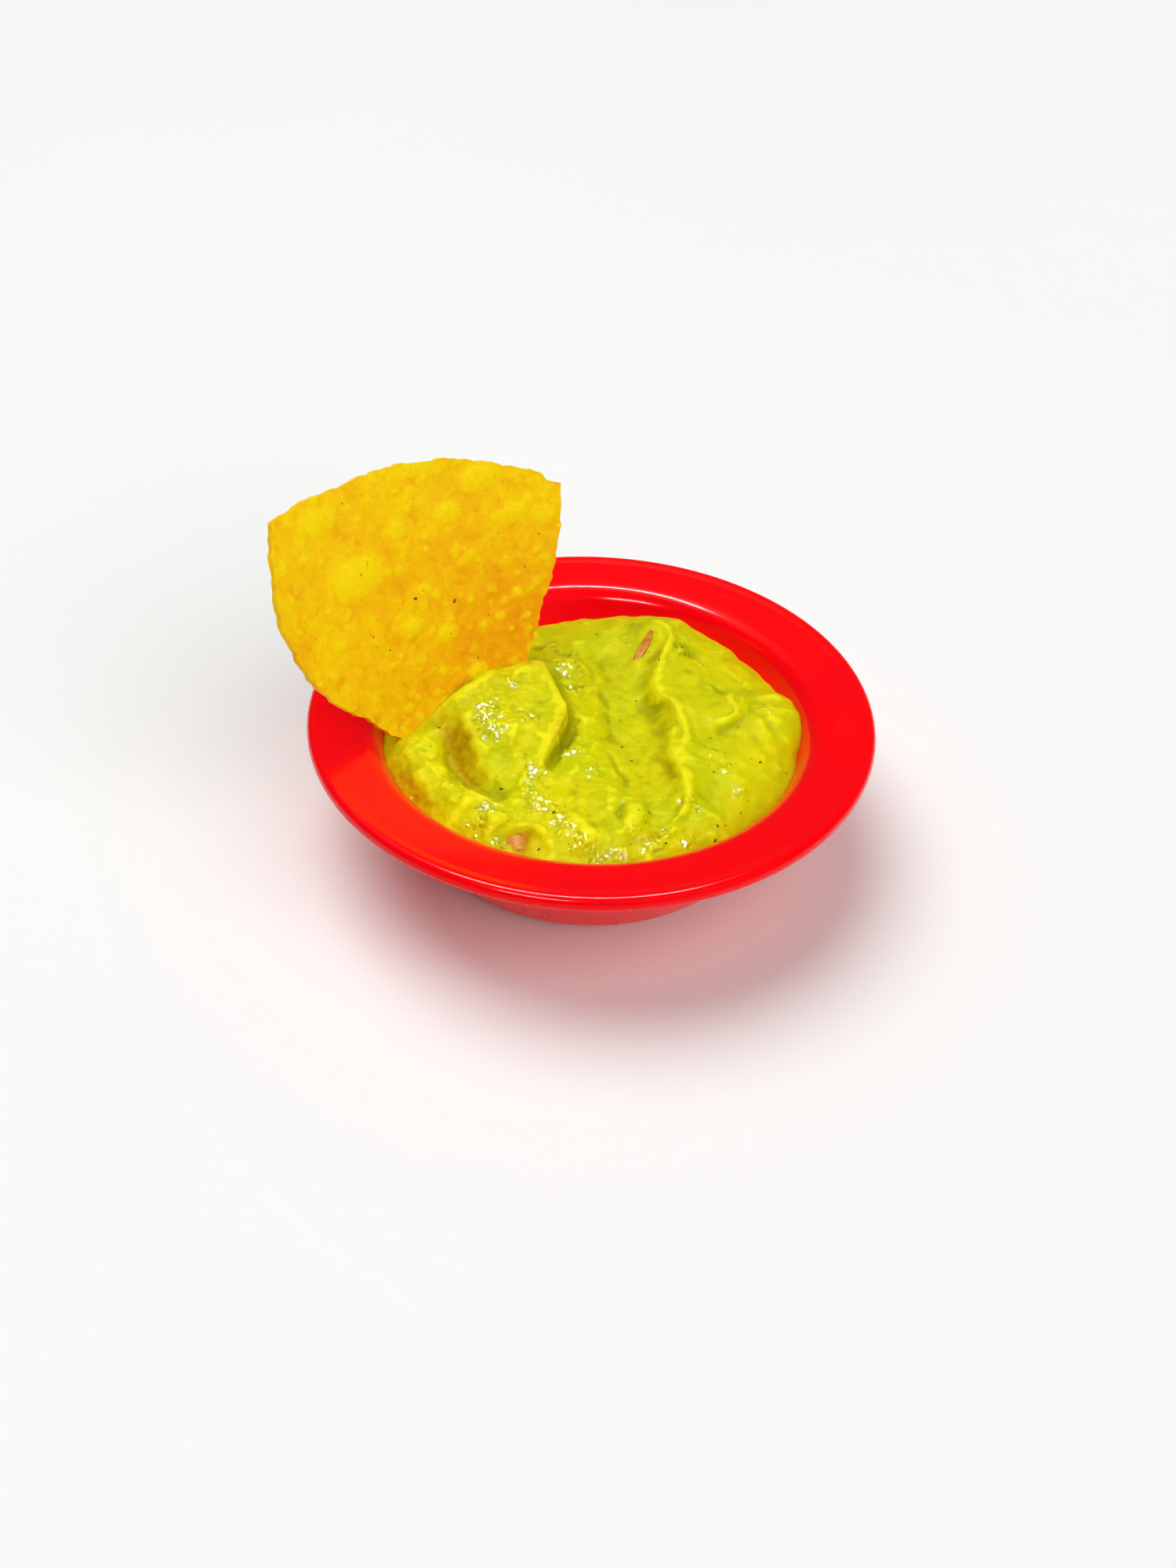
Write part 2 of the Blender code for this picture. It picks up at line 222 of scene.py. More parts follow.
# %% [markdown]
# ## Camera and light
#
# The camera is a phone held about 22 cm above the table, looking down at 40 degrees and turned by
# two degrees about its own axis. The light is a white light tent: a dim surround, and two wide
# soft walls of light, from behind overhead and from the front right. The walls don't show in
# reflections, so that red plastic and yellow paste keep their full colour. Two narrow bars show in
# reflections only: they draw the lines along the lip and the glints in the wet places.
#
# The Standard view keeps bright reds and yellows as vivid as they are, where the usual film-like
# view would wash them out.

# %% Camera, surround and lamps
RIM_ABOVE_TABLE = 29.6 * MM
RIM_PLANE = cad_low.z + RIM_ABOVE_TABLE
CAMERA_HEIGHT = 190.5 * MM
CAMERA_BACK = 251.2 * MM
CAMERA_ASIDE = -0.3 * MM
LOOK_DOWN = math.radians(40.12)
CAMERA_ROLL = math.radians(2.04)

bpy.context.scene.view_settings.view_transform = "Standard"
camera_data = bpy.data.cameras.new("camera")
camera_data.lens = 34.2
camera_data.sensor_width = 36.0
camera_data.clip_start = 0.01
camera = bpy.data.objects.new("camera", camera_data)
bpy.context.scene.collection.objects.link(camera)
turned = Matrix.Rotation(math.pi / 2.0 - LOOK_DOWN, 4, "X") @ Matrix.Rotation(CAMERA_ROLL, 4, "Z")
camera.matrix_world = Matrix.Translation((CAMERA_ASIDE, -CAMERA_BACK, RIM_PLANE + CAMERA_HEIGHT)) @ turned
bpy.context.scene.camera = camera

surround = bpy.data.worlds.new("light_tent")
surround.use_nodes = True
surround.node_tree.nodes["Background"].inputs["Color"].default_value = (1.0, 1.0, 0.99, 1.0)
surround.node_tree.nodes["Background"].inputs["Strength"].default_value = 0.10
bpy.context.scene.world = surround


def aim_lamp(lamp, place, aim):
    """Put a lamp at a place, facing a point."""
    holder = bpy.data.objects.new(lamp.name, lamp)
    bpy.context.scene.collection.objects.link(holder)
    holder.location = place
    holder.rotation_euler = (Vector(aim) - Vector(place)).to_track_quat("-Z", "Y").to_euler()
    return holder


def add_tent_wall(name, place, spread, strength):
    """Even soft light from one side of the tent, which doesn't show in reflections."""
    lamp = bpy.data.lights.new(name, "SUN")
    lamp.angle = math.radians(spread)
    lamp.energy = strength
    aim_lamp(lamp, place, (0.0, 0.0, 0.0)).visible_glossy = False


def add_bright_bar(name, place, width, depth, power):
    """A lamp that is only there to be seen in glossy and wet surfaces."""
    lamp = bpy.data.lights.new(name, "AREA")
    lamp.shape = "RECTANGLE"
    lamp.size = width
    lamp.size_y = depth
    lamp.energy = power
    aim_lamp(lamp, place, (0.0, 0.0, RIM_PLANE)).visible_diffuse = False


add_tent_wall("tent_top", (-0.25, 0.22, 0.80), 45.0, 2.2)
add_tent_wall("tent_front", (0.52, -0.58, 0.62), 60.0, 1.8)
add_bright_bar("bright_bar", (-0.03, 0.16, 0.62), 0.38, 0.05, 7.0)
add_bright_bar("front_bar", (-0.16, -0.42, 0.50), 0.22, 0.03, 3.5)

# %% [markdown]
# ## The surface it stands on
#
# The dish stands on a pale matt table. A grid is enough: it only has to catch the soft shadow.

# %% Table top
start_fresh()
bpy.ops.mesh.primitive_plane_add(size=6.0, location=(0.0, 1.0, cad_low.z))
table_top = bpy.context.object
table_top.name = "table_top"
white_card = Finish("white_card")
card_tone = white_card.noise(0.6, detail=2.0)
white_card.link(white_card.mix(card_tone, paint(240, 242, 241), paint(234, 235, 234)), "Base Color")
white_card.set(Roughness=0.9, Specular_IOR_Level=0.1)
table_top.data.materials.append(white_card.material)

# %% [markdown]
# ## The dish
#
# The dish is turned plastic: one outline goes round an axis. By hand that is a chain of vertices
# extruded from point to point, with its corners rounded by a vertex bevel, and then spun. A
# cylinder pushed into shape would need many more steps and would not give the rolled lip.
#
# The outline runs from the middle of the floor up the inside, over the flange and the lip, and
# back under to the foot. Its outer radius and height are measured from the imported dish.

# %% Spin the dish
dish_low, dish_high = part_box("bowl")
DISH_RADIUS = dish_high.x
DISH_HEIGHT = dish_high.z
FLANGE_INNER_RADIUS = 46.4 * MM
FLANGE_DROP = 2.0 * MM
LIP_HEIGHT = 3.1 * MM
LIP_WIDTH = 2.6 * MM
DISH_STEPS = 224

# Each corner of the outline: radius, height above the table, and the radius of its rounding.
DISH_CORNERS = (
    (0.0, 4.8 * MM, 0.0),
    (35.5 * MM, 4.8 * MM, 8.0 * MM),
    (FLANGE_INNER_RADIUS, DISH_HEIGHT - FLANGE_DROP, 5.0 * MM),
    (DISH_RADIUS - 3.4 * MM, DISH_HEIGHT - 0.7 * MM, 3.0 * MM),
    (DISH_RADIUS, DISH_HEIGHT + 0.45 * MM, 1.7 * MM),
    (DISH_RADIUS - 0.15 * MM, DISH_HEIGHT - LIP_HEIGHT, 0.9 * MM),
    (DISH_RADIUS - LIP_WIDTH, DISH_HEIGHT - LIP_HEIGHT, 0.8 * MM),
    (DISH_RADIUS - LIP_WIDTH - 0.15 * MM, DISH_HEIGHT - 2.9 * MM, 0.4 * MM),
    (FLANGE_INNER_RADIUS + 3.2 * MM, DISH_HEIGHT - 4.0 * MM, 1.9 * MM),
    (37.9 * MM, 2.0 * MM, 4.0 * MM),
    (35.6 * MM, 1.6 * MM, 0.4 * MM),
    (35.45 * MM, 0.0, 0.5 * MM),
    (0.0, 0.0, 0.0),
)
ROUNDING_STEPS = 7


def rounding_length(before, corner, after, radius):
    """How far from the corner a rounding of this radius starts, along either edge."""
    back = (Vector(before[:2]) - Vector(corner[:2])).normalized()
    ahead = (Vector(after[:2]) - Vector(corner[:2])).normalized()
    return radius / math.tan(back.angle(ahead) / 2.0)


def turned_outline(corners):
    """Draw an outline in the XZ plane by extruding one vertex, and round its corners."""
    start_fresh()
    bpy.ops.mesh.primitive_plane_add(size=1.0 * MM, location=(0.0, 0.0, 0.0))
    bpy.ops.object.mode_set(mode="EDIT")
    bpy.ops.mesh.select_all(action="SELECT")
    bpy.ops.mesh.merge(type="CENTER")
    bpy.ops.transform.translate(value=(corners[0][0], 0.0, corners[0][1]))
    for here, ahead in zip(corners, corners[1:]):
        step = (ahead[0] - here[0], 0.0, ahead[1] - here[1])
        bpy.ops.mesh.extrude_region_move(TRANSFORM_OT_translate={"value": step})
    for before, corner, after in zip(corners, corners[1:], corners[2:]):
        select_nearest(Vector((corner[0], 0.0, corner[1])))
        length = rounding_length(before, corner, after, corner[2])
        bpy.ops.mesh.bevel(
            offset_type="OFFSET", offset=length, segments=ROUNDING_STEPS, affect="VERTICES", profile=0.5
        )


def select_nearest(place):
    """In edit mode, select only the vertex nearest to a place."""
    shape = bmesh.from_edit_mesh(bpy.context.object.data)
    for vertex in shape.verts:
        vertex.select = False
    min(shape.verts, key=lambda vertex: (vertex.co - place).length).select = True
    shape.select_flush_mode()
    bmesh.update_edit_mesh(bpy.context.object.data)


turned_outline(DISH_CORNERS)
bpy.ops.mesh.select_all(action="SELECT")
bpy.ops.mesh.spin(steps=DISH_STEPS, angle=2.0 * math.pi, center=(0.0, 0.0, 0.0), axis=(0.0, 0.0, 1.0))
bpy.ops.mesh.select_all(action="SELECT")
bpy.ops.mesh.remove_doubles(threshold=0.002 * MM)
bpy.ops.mesh.normals_make_consistent(inside=False)
bpy.ops.object.mode_set(mode="OBJECT")
print("dish radius and height in mm:", round(DISH_RADIUS / MM, 2), round(DISH_HEIGHT / MM, 2))

# %% [markdown]
# The finish is glossy moulded plastic, deep red all through. Its base reflection is tinted red, as
# the pigment sits right under the skin, and a thin clear coat gives the sharp white lines along
# the lip. Faint clouds in the colour, hair-fine scratches from stacking and washing, and a few
# duller rubbed areas keep it from looking like new paint.

# %% Red plastic
red_plastic = Finish("red_plastic")
clouds = red_plastic.noise(26 * MM, detail=2.0)
pigment = red_plastic.mix(
    red_plastic.span(clouds, 0.3, 0.7), paint(252, 0, 6), paint(246, 0, 14)
)
scratch_run = red_plastic.stretched((140.0, 3200.0, 900.0), (0.0, 0.0, math.radians(24.0)))
scratches = red_plastic.add(
    "ShaderNodeTexNoise", {"Vector": scratch_run, "Scale": 1.0, "Detail": 2.0, "Roughness": 0.6}
).outputs["Fac"]
fine_lines = red_plastic.span(scratches, 0.66, 0.74)
rubbed = red_plastic.span(red_plastic.noise(9 * MM, detail=4.0, rough=0.6), 0.55, 0.75)
red_plastic.link(pigment, "Base Color")
red_plastic.link(red_plastic.span(rubbed, 0.0, 1.0, 0.20, 0.30), "Roughness")
red_plastic.set(
    Specular_IOR_Level=0.3,
    Specular_Tint=(1.0, 0.02, 0.02, 1.0),
    Coat_Weight=0.25,
    Coat_Roughness=0.12,
    Coat_IOR=1.45,
)
red_plastic.bump(fine_lines, 0.006 * MM, 0.5)

bowl = finish_piece("red_rimmed_dish", red_plastic.material, 50.0)
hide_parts("bowl")

# %% [markdown]
# ## The paste
#
# Guacamole this smooth is spooned in and then pushed about: it has a heap against the chip whose
# crest breaks over, a furrow, and long swept lobes. Sculpting strokes can't be repeated exactly in
# a script, so each stroke is described instead: a line that the crest follows, how high it stands
# and how steeply it falls on either side. A grid is then bent into a disc that fits the dish and
# lifted to the sum of all the strokes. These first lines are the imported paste's own.

# %% Strokes that shape the paste
paste_low, paste_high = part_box("guacamole")

# Points of the crest in mm, rise in mm, and the reach of its left side and its right side in mm.
STROKES = (
    (((-13, 19), (-9, 8), (-6.5, -1), (-8, -9), (-11, -18)), 3.6, 1.6, 13.0),
    (((-24, 2), (-20, -6), (-16, -12)), 1.7, 6.0, 6.0),
    (((-31, -6), (-28, -14), (-23, -21), (-15, -25)), -3.0, 3.0, 2.6),
    (((-38, -7), (-34, -18), (-26, -27), (-15, -33)), 1.9, 3.4, 4.0),
    (((4, 32), (5, 14), (8, 0), (9, -14), (6, -24)), -2.3, 7.0, 7.0),
    (((14, 36), (16, 26), (14, 12), (18, 2), (17, -10), (19, -22), (15, -31)), 1.7, 6.5, 1.9),
    (((32, 10), (31, 2), (25, -1)), 1.1, 1.5, 5.0),
    (((39, 8), (38, -2), (35, -12)), 1.0, 4.0, 4.0),
    (((8, -26), (9, -31), (7, -36)), 1.3, 2.6, 2.6),
    (((-6, -33), (0, -36), (3, -38)), 1.0, 3.0, 3.0),
)

# Round lumps and hollows: middle in mm, rise in mm, reach in mm.
LUMPS = (
    ((-28, 5), 4.6, 10.5),
    ((-16, 13), 2.9, 8.0),
    ((-6, 18), 1.1, 4.5),
    ((14, 33), 1.2, 7.0),
    ((24, 12), 1.0, 7.0),
    ((26, -14), 0.9, 9.0),
    ((-13, -35), -1.4, 3.2),
    ((-17, -33), 1.0, 3.0),
    ((4, -4), -0.9, 2.6),
)

# Where the paste's edge climbs the wall: direction in degrees, rise in mm, reach in degrees.
EDGE_LOBES = (
    (68.0, 2.9, 15.0),
    (46.0, 1.2, 10.0),
    (7.0, 3.2, 16.0),
    (-24.0, 1.0, 16.0),
    (-78.0, 0.9, 20.0),
    (192.0, 1.6, 22.0),
    (130.0, -0.8, 25.0),
)

# %% [markdown]
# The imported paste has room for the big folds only. The finished one also has the small things that
# a spoon leaves: thin ridges along the crests, wrinkles by the right wall, a little valley where
# the paste pulls away from the chip, the rim of a burst bubble, and the notch in the long crest.

# %% Smaller strokes
FINE_STROKES = (
    # Sharp edge along the heap's crest, and the hollow right under it.
    (((-8, 4), (-6.4, -1), (-7.2, -6), (-9.4, -12), (-10.6, -17)), 0.9, 0.7, 1.8),
    (((-4.0, 0.5), (-5.0, -6), (-7.4, -12), (-8.6, -17)), -1.6, 1.3, 1.3),
    (((-6.4, -1.5), (-4.2, -0.6), (-2.6, -0.2)), -0.8, 0.8, 0.9),
    (((-16.4, -4.5), (-15.6, -8), (-16.6, -13)), 0.25, 0.6, 1.1),
    # Where the paste pulls away from the chip.
    (((-37.5, -3.4), (-33.0, 0.8), (-29.0, 4.6), (-25.5, 8.2)), -1.6, 0.9, 1.5),
    (((-22.0, 11.0), (-18.0, 14.6), (-14.0, 18.6)), -0.6, 0.8, 1.0),
    # Ridges and dips of the heap.
    (((-30, 1), (-26, 3), (-21, 9), (-17, 10)), 0.6, 1.6, 1.6),
    (((-18, 6), (-16, 9), (-12, 12)), 0.5, 1.2, 1.2),
    (((-27, -3), (-25, -9), (-21, -15)), 0.7, 1.4, 1.4),
    # The long crest's edge, its kink and the notch below it.
    (((13, 35.5), (16.2, 33), (17.4, 29), (16.6, 25), (15.2, 21), (14.8, 17)), 0.8, 1.0, 0.7),
    (((12.5, 7.5), (15.2, 6.6), (17.6, 3.6), (19.0, -0.8), (19.8, -5.6), (19.2, -10)), 0.9, 1.2, 0.7),
    (((16.6, -16), (18.6, -18.6), (19.9, -23), (19.0, -28), (16, -32.5)), 0.9, 1.3, 0.7),
    (((15.4, -13), (16.6, -15.6), (17.2, -18)), -1.0, 1.1, 0.9),
    (((9, 10), (12, 7), (14, 1), (14.5, -6)), -0.7, 2.2, 2.2),
    # The curl on the right and the wrinkles behind it.
    (((30.4, 10.5), (30.0, 6), (31.2, 1.5), (28.6, -1.4), (25.6, -2.2)), 0.7, 0.6, 1.3),
    (((34.5, 4.5), (38.2, -2), (41.0, -8.5)), -0.35, 1.0, 1.0),
    (((32.0, 0.0), (36.0, -8.5), (38.0, -16)), -0.25, 1.0, 1.0),
    (((36.5, 8.6), (39.4, 9.4), (42.0, 8.0)), 0.8, 1.6, 1.6),
    (((23, 17), (27, 12), (29, 8)), -0.45, 1.1, 1.1),
    (((27, 22), (31, 18), (34, 13)), -0.35, 1.0, 1.2),
    # The swept middle and its two faint trails.
    (((1, 13), (3, 8), (3.4, 2), (4.6, -4)), -0.7, 1.2, 1.8),
    (((4.5, 28), (1.6, 22), (2.2, 15)), -0.5, 1.8, 1.2),
    (((3, -6), (5, -13), (7.4, -18), (6.4, -23)), -0.5, 0.9, 1.1),
    (((-2, 24), (1, 19), (1, 13), (-3, 9)), 0.5, 1.2, 1.2),
    # The tongue-shaped lump in front and the folds round it.
    (((7.6, -26.5), (6.0, -29.5), (6.4, -34)), -0.45, 1.0, 1.0),
    (((11.6, -26), (12.0, -30.5), (10.4, -35)), -0.45, 1.1, 1.1),
    (((13, -37.5), (16, -34), (18.5, -31.6)), 0.5, 0.7, 0.9),
    # Front row of small folds.
    (((-26.5, -19), (-24, -24), (-19.5, -27.5), (-15, -29)), 0.6, 1.0, 1.2),
    (((-20, -30), (-18.5, -33), (-20, -36)), 0.5, 1.2, 1.0),
    (((-16.5, -36), (-13.5, -33.4), (-9.8, -34), (-8, -37)), 0.8, 1.1, 1.1),
    (((-4, -30), (-1, -33), (1, -37)), 0.5, 1.1, 1.1),
    (((-36, -14), (-33, -20), (-30, -24)), -0.5, 1.2, 1.2),
)

FINE_LUMPS = (
    ((-5.4, 17.0), 0.6, 3.2),
    ((-33, -5), -0.5, 1.6),
    ((13, 22), -0.4, 1.4),
    ((-12.6, 27), -0.9, 1.3),
    ((-4, 28), 0.5, 2.4),
    ((2, 34), 0.6, 3.0),
    ((-8, 33), 0.5, 2.6),
    ((9, 20), 0.4, 3.0),
    ((22, 24), -0.5, 2.2),
    ((19, 25), 0.7, 2.2),
    ((24, -24), -0.4, 3.2),
    ((29, -20), 0.4, 2.6),
    ((-2, -22), -0.5, 3.4),
    ((-5, -26), 0.5, 2.0),
    ((-13.5, -20), 0.5, 2.2),
    ((-38, -18), -0.6, 2.2),
    ((-33, -24), 0.5, 2.2),
    ((-26, -31), 0.4, 2.0),
    ((34, -18), 0.4, 2.8),
    ((22, 3), 0.4, 2.6),
    ((24, -7), -0.35, 2.4),
)

# The edge also ripples: ripples all round, rise in mm, and where they start in radians.
EDGE_RIPPLES = ((13, 0.22, 0.3), (22, 0.16, 2.0), (37, 0.10, 4.1), (58, 0.06, 1.0))

BUBBLE_MIDDLE = (-5.5, 16.4)
BUBBLE_RADIUS = 4.1
BUBBLE_RIM = 0.3

# %% [markdown]
# These functions add the strokes up. A stroke's height at a place depends on how far it is from
# the crest line and on which side, and it tapers out at both ends. Close to the wall the strokes
# fade away, because there the paste follows the dish.
#
# The inner wall is measured on the finished dish: rays go out from its axis, one for each height.

# %% Height of the paste at a place
LINE_SAMPLES = 12
PROGRESS_BLEND_MM = 1.2
TAPER_POWER = 3
SHOULDER_POWER = 9
WALL_FADE_POWER = 20
BUBBLE_RIM_WIDTH = 0.9
EDGE_LEVEL = -7.2
SHOULDER_RISE = 2.9
DOME_RISE = 1.2
WALL_BITE = 0.12 * MM

wall_heights = np.linspace(5.2 * MM, 28.6 * MM, 60)
wall_radii = np.array(
    [
        bowl.ray_cast(Vector((0.0, 0.0, z)), Vector((1.0, 0.0005, 0.0)))[1].x
        for z in wall_heights
    ]
)


def wall_radius(height):
    """Inner radius of the dish at a height above the table."""
    return np.interp(height, wall_heights, wall_radii)


def smooth_line(points):
    """A smooth curve through a few points."""
    points = np.array(points, float)
    padded = np.vstack([2 * points[0] - points[1], points, 2 * points[-1] - points[-2]])
    samples = []
    for p0, p1, p2, p3 in zip(padded, padded[1:], padded[2:], padded[3:]):
        for t in np.linspace(0.0, 1.0, LINE_SAMPLES, endpoint=False):
            curve = 2 * p1 + (p2 - p0) * t
            curve = curve + (2 * p0 - 5 * p1 + 4 * p2 - p3) * t**2
            curve = curve + (3 * p1 - p0 - 3 * p2 + p3) * t**3
            samples.append(0.5 * curve)
    return np.array(samples + [points[-1]])


def from_line(x, y, line):
    """Distance to a line, which side of it each place is on, and how far along."""
    away = (x - line[:, :1]) ** 2 + (y - line[:, 1:]) ** 2
    nearest = away.argmin(0)
    closest = away.min(0)
    along = np.gradient(line, axis=0)[nearest]
    side = along[:, 0] * (y - line[nearest, 1]) - along[:, 1] * (x - line[nearest, 0])
    weights = np.exp((closest - away) / PROGRESS_BLEND_MM**2)
    progress = (weights * np.linspace(0.0, 1.0, len(line))[:, None]).sum(0) / weights.sum(0)
    return np.sqrt(closest), side, progress


def stroke_height(x, y, stroke):
    """Height in mm that one stroke adds at each place in mm."""
    points, rise, left, right = stroke
    distance, side, progress = from_line(x, y, smooth_line(points))
    taper = 1.0 - np.abs(2.0 * progress - 1.0) ** TAPER_POWER
    return rise * taper * np.exp(-((distance / np.where(side > 0.0, left, right)) ** 2))


def lump_height(x, y, lump):
    """Height in mm that a round lump adds."""
    (middle_x, middle_y), rise, reach = lump
    return rise * np.exp(-((x - middle_x) ** 2 + (y - middle_y) ** 2) / reach**2)


def edge_wave(angle):
    """How far in metres the paste climbs the wall in each direction."""
    wave = np.zeros_like(angle)
    for middle, rise, reach in EDGE_LOBES:
        turn = np.angle(np.exp(1j * (angle - math.radians(middle))))
        wave += rise * np.exp(-((turn / math.radians(reach)) ** 2))
    for count, rise, start in EDGE_RIPPLES:
        wave += rise * np.sin(count * angle + start)
    return wave * MM


def paste_reach(height):
    """How far out the paste goes at a height: just into the wall, so that no gap shows."""
    return wall_radius(height) + WALL_BITE


def edge_height(angle):
    """Height of the paste's edge along the wall."""
    return RIM_PLANE + EDGE_LEVEL * MM + edge_wave(angle)


def paste_height(x, y, share):
    """Height in metres of the paste at places in mm, share of the way out to the wall."""
    level = EDGE_LEVEL + edge_wave(np.arctan2(y, x)) / MM * share**2
    level = level + SHOULDER_RISE * (1.0 - share**SHOULDER_POWER) + DOME_RISE * (1.0 - share**2)
    folds = sum(stroke_height(x, y, stroke) for stroke in STROKES + FINE_STROKES)
    folds = folds + sum(lump_height(x, y, lump) for lump in LUMPS + FINE_LUMPS)
    ring = np.hypot(x - BUBBLE_MIDDLE[0], y - BUBBLE_MIDDLE[1]) - BUBBLE_RADIUS
    folds = folds + BUBBLE_RIM * np.exp(-((ring / BUBBLE_RIM_WIDTH) ** 2))
    return RIM_PLANE + (level + folds * (1.0 - share**WALL_FADE_POWER)) * MM


print("inner wall of the dish in mm:", np.round(wall_radii[::20] / MM, 1))

# %% [markdown]
# The grid's corners are rounded off to a disc, so that every cell keeps nearly its size. Then the
# crest of the heap is pushed sideways, past the foot of its own slope, which gives the little
# overhang with the deep shadow that a plain height can't have.

# %% Bend a grid into the surface of the paste
PASTE_CELLS = 288
OVERHANG_LINE = ((-9.0, 6.0), (-6.6, -1.0), (-7.6, -7.0), (-10.0, -14.0), (-11.0, -18.0))
OVERHANG = 1.5
CREST_LEAN = 0.5

# Where the long crest and the curl stand in the lists of strokes.
LONG_CREST = 5
CURL_CREST = 14

start_fresh()
bpy.ops.mesh.primitive_grid_add(
    x_subdivisions=PASTE_CELLS, y_subdivisions=PASTE_CELLS, size=2.0, location=(0.0, 0.0, 0.0)
)
paste = bpy.context.object
square = coordinates(paste)
disc_x = square[:, 0] * np.sqrt(1.0 - square[:, 1] ** 2 / 2.0)
disc_y = square[:, 1] * np.sqrt(1.0 - square[:, 0] ** 2 / 2.0)
share = np.clip(np.hypot(disc_x, disc_y), 0.0, 1.0)
angle = np.arctan2(disc_y, disc_x)
reach = paste_reach(edge_height(angle)) / MM
across = disc_x * reach
along = disc_y * reach
height = paste_height(across, along, share)


def lean_over(line, amount, ahead, spread):
    """Sideways shift in mm of what lies by a crest line, towards its right side."""
    distance, side, progress = from_line(across, along, smooth_line(line))
    signed = np.where(side > 0.0, -distance, distance)
    return amount * np.sin(math.pi * np.clip(progress, 0.02, 0.98)) * np.exp(
        -(((signed - ahead) / spread) ** 2)
    )


shift_x = lean_over(OVERHANG_LINE, OVERHANG, 0.4, 1.3)
for crest in (STROKES[LONG_CREST][0], FINE_STROKES[CURL_CREST][0]):
    shift_x = shift_x - CREST_LEAN * lean_over(crest, 1.0, -0.3, 0.9)
surface = np.stack([(across + shift_x) * MM, along * MM, height], axis=1)
place_vertices(paste, surface)
print("paste from", round(height.min() / MM, 1), "to", round(height.max() / MM, 1), "mm high")

# %% [markdown]
# The surface becomes a solid: its outer loop is extruded down the wall in a few steps, each ring
# set to the dish's radius at that height, and merged to one point on the floor.

# %% Close the paste against the dish
FLOOR_TOP = 5.1 * MM
WALL_RINGS = 5


def select_loop(low_to_high):
    """Place the selected ring between the paste's edge, at 0, and the floor, at 1."""
    shape = bmesh.from_edit_mesh(bpy.context.object.data)
    for vertex in shape.verts:
        if vertex.select:
            turn = math.atan2(vertex.co.y, vertex.co.x)
            top = float(edge_height(np.array([turn]))[0])
            z = top + (FLOOR_TOP - top) * low_to_high
            radius = float(paste_reach(z))
            vertex.co = Vector((radius * math.cos(turn), radius * math.sin(turn), z))
    bmesh.update_edit_mesh(bpy.context.object.data)


bpy.ops.object.mode_set(mode="EDIT")
bpy.ops.mesh.select_mode(type="VERT")
bpy.ops.mesh.select_all(action="SELECT")
bpy.ops.mesh.region_to_loop()
for ring in range(1, WALL_RINGS + 1):
    bpy.ops.mesh.extrude_region_move(TRANSFORM_OT_translate={"value": (0.0, 0.0, -0.5 * MM)})
    select_loop((ring / WALL_RINGS) ** 0.8)
bpy.ops.mesh.extrude_region_move(TRANSFORM_OT_translate={"value": (0.0, 0.0, 0.0)})
bpy.ops.mesh.merge(type="CENTER")
bpy.ops.mesh.select_all(action="SELECT")
bpy.ops.mesh.normals_make_consistent(inside=False)
bpy.ops.object.mode_set(mode="OBJECT")

# %% [markdown]
# Guacamole isn't one texture all over. Some places are wet, with a skin of juice over tiny lumps,
# and they sparkle. Others are smooth. The wet places are painted as a vertex group, as a sculptor
# paints a mask, and three Displace modifiers then raise the relief: soft swells everywhere, small
# lumps that are stronger towards the front left, and a fine wet grain in the painted places only.

# %% Wet places, and relief as a mask allows
# Middle in mm and reach in mm of each wet place.
WET_PLACES = (
    ((-21.5, -4.0), 3.2),
    ((-20.0, -8.5), 2.6),
    ((-13.0, -4.6), 2.0),
    ((-11.5, -18.5), 2.2),
    ((-12.0, -23.0), 2.0),
    ((-9.5, -27.5), 2.8),
    ((-6.0, -30.0), 2.0),
    ((-4.4, -10.6), 2.2),
    ((-5.5, 17.4), 3.4),
    ((-5.0, 23.0), 2.0),
    ((-3.6, 10.4), 2.0),
    ((-10.0, 27.5), 2.0),
    ((-17.4, 5.6), 1.3),
    ((-27.0, -21.5), 1.6),
    ((-24.0, -25.5), 1.5),
    ((-20.0, -30.0), 2.2),
    ((-21.5, -33.0), 1.8),
    ((-18.0, -38.0), 1.8),
    ((-31.5, -16.0), 0.9),
    ((-5.0, -34.0), 1.8),
    ((-1.0, -37.5), 2.0),
    ((1.5, -41.0), 2.0),
    ((6.0, -41.0), 2.0),
    ((8.8, -34.0), 1.1),
    ((6.8, -28.6), 0.9),
    ((12.5, -37.5), 1.8),
    ((15.0, -34.5), 1.4),
    ((19.6, -35.5), 1.4),
    ((20.6, -26.5), 1.8),
    ((25.6, -10.6), 1.2),
    ((27.4, -15.8), 1.2),
    ((30.0, -21.5), 1.1),
    ((36.8, 4.4), 1.6),
    ((22.9, 21.6), 1.0),
    ((7.4, 29.6), 1.2),
    ((1.0, -16.4), 1.5),
    ((2.4, 2.0), 1.0),
    ((6.4, 9.6), 0.8),
)
WET_EDGE_MM = 0.7
WET_WOBBLE_MM = 0.8
RELIEF_FADE_POWER = 60


def painted(places, x, y):
    """A mask from 0 to 1 that is full in each place and soft at its edge."""
    mask = np.zeros(len(x))
    x, y = x + WET_WOBBLE_MM * np.sin(1.9 * y + 0.7), y + WET_WOBBLE_MM * np.sin(2.3 * x + 2.0)
    for (middle_x, middle_y), reach in places:
        away = np.hypot(x - middle_x, y - middle_y)
        mask = np.maximum(mask, np.clip((reach + WET_EDGE_MM - away) / (2.0 * WET_EDGE_MM), 0.0, 1.0))
    return mask * mask * (3.0 - 2.0 * mask)


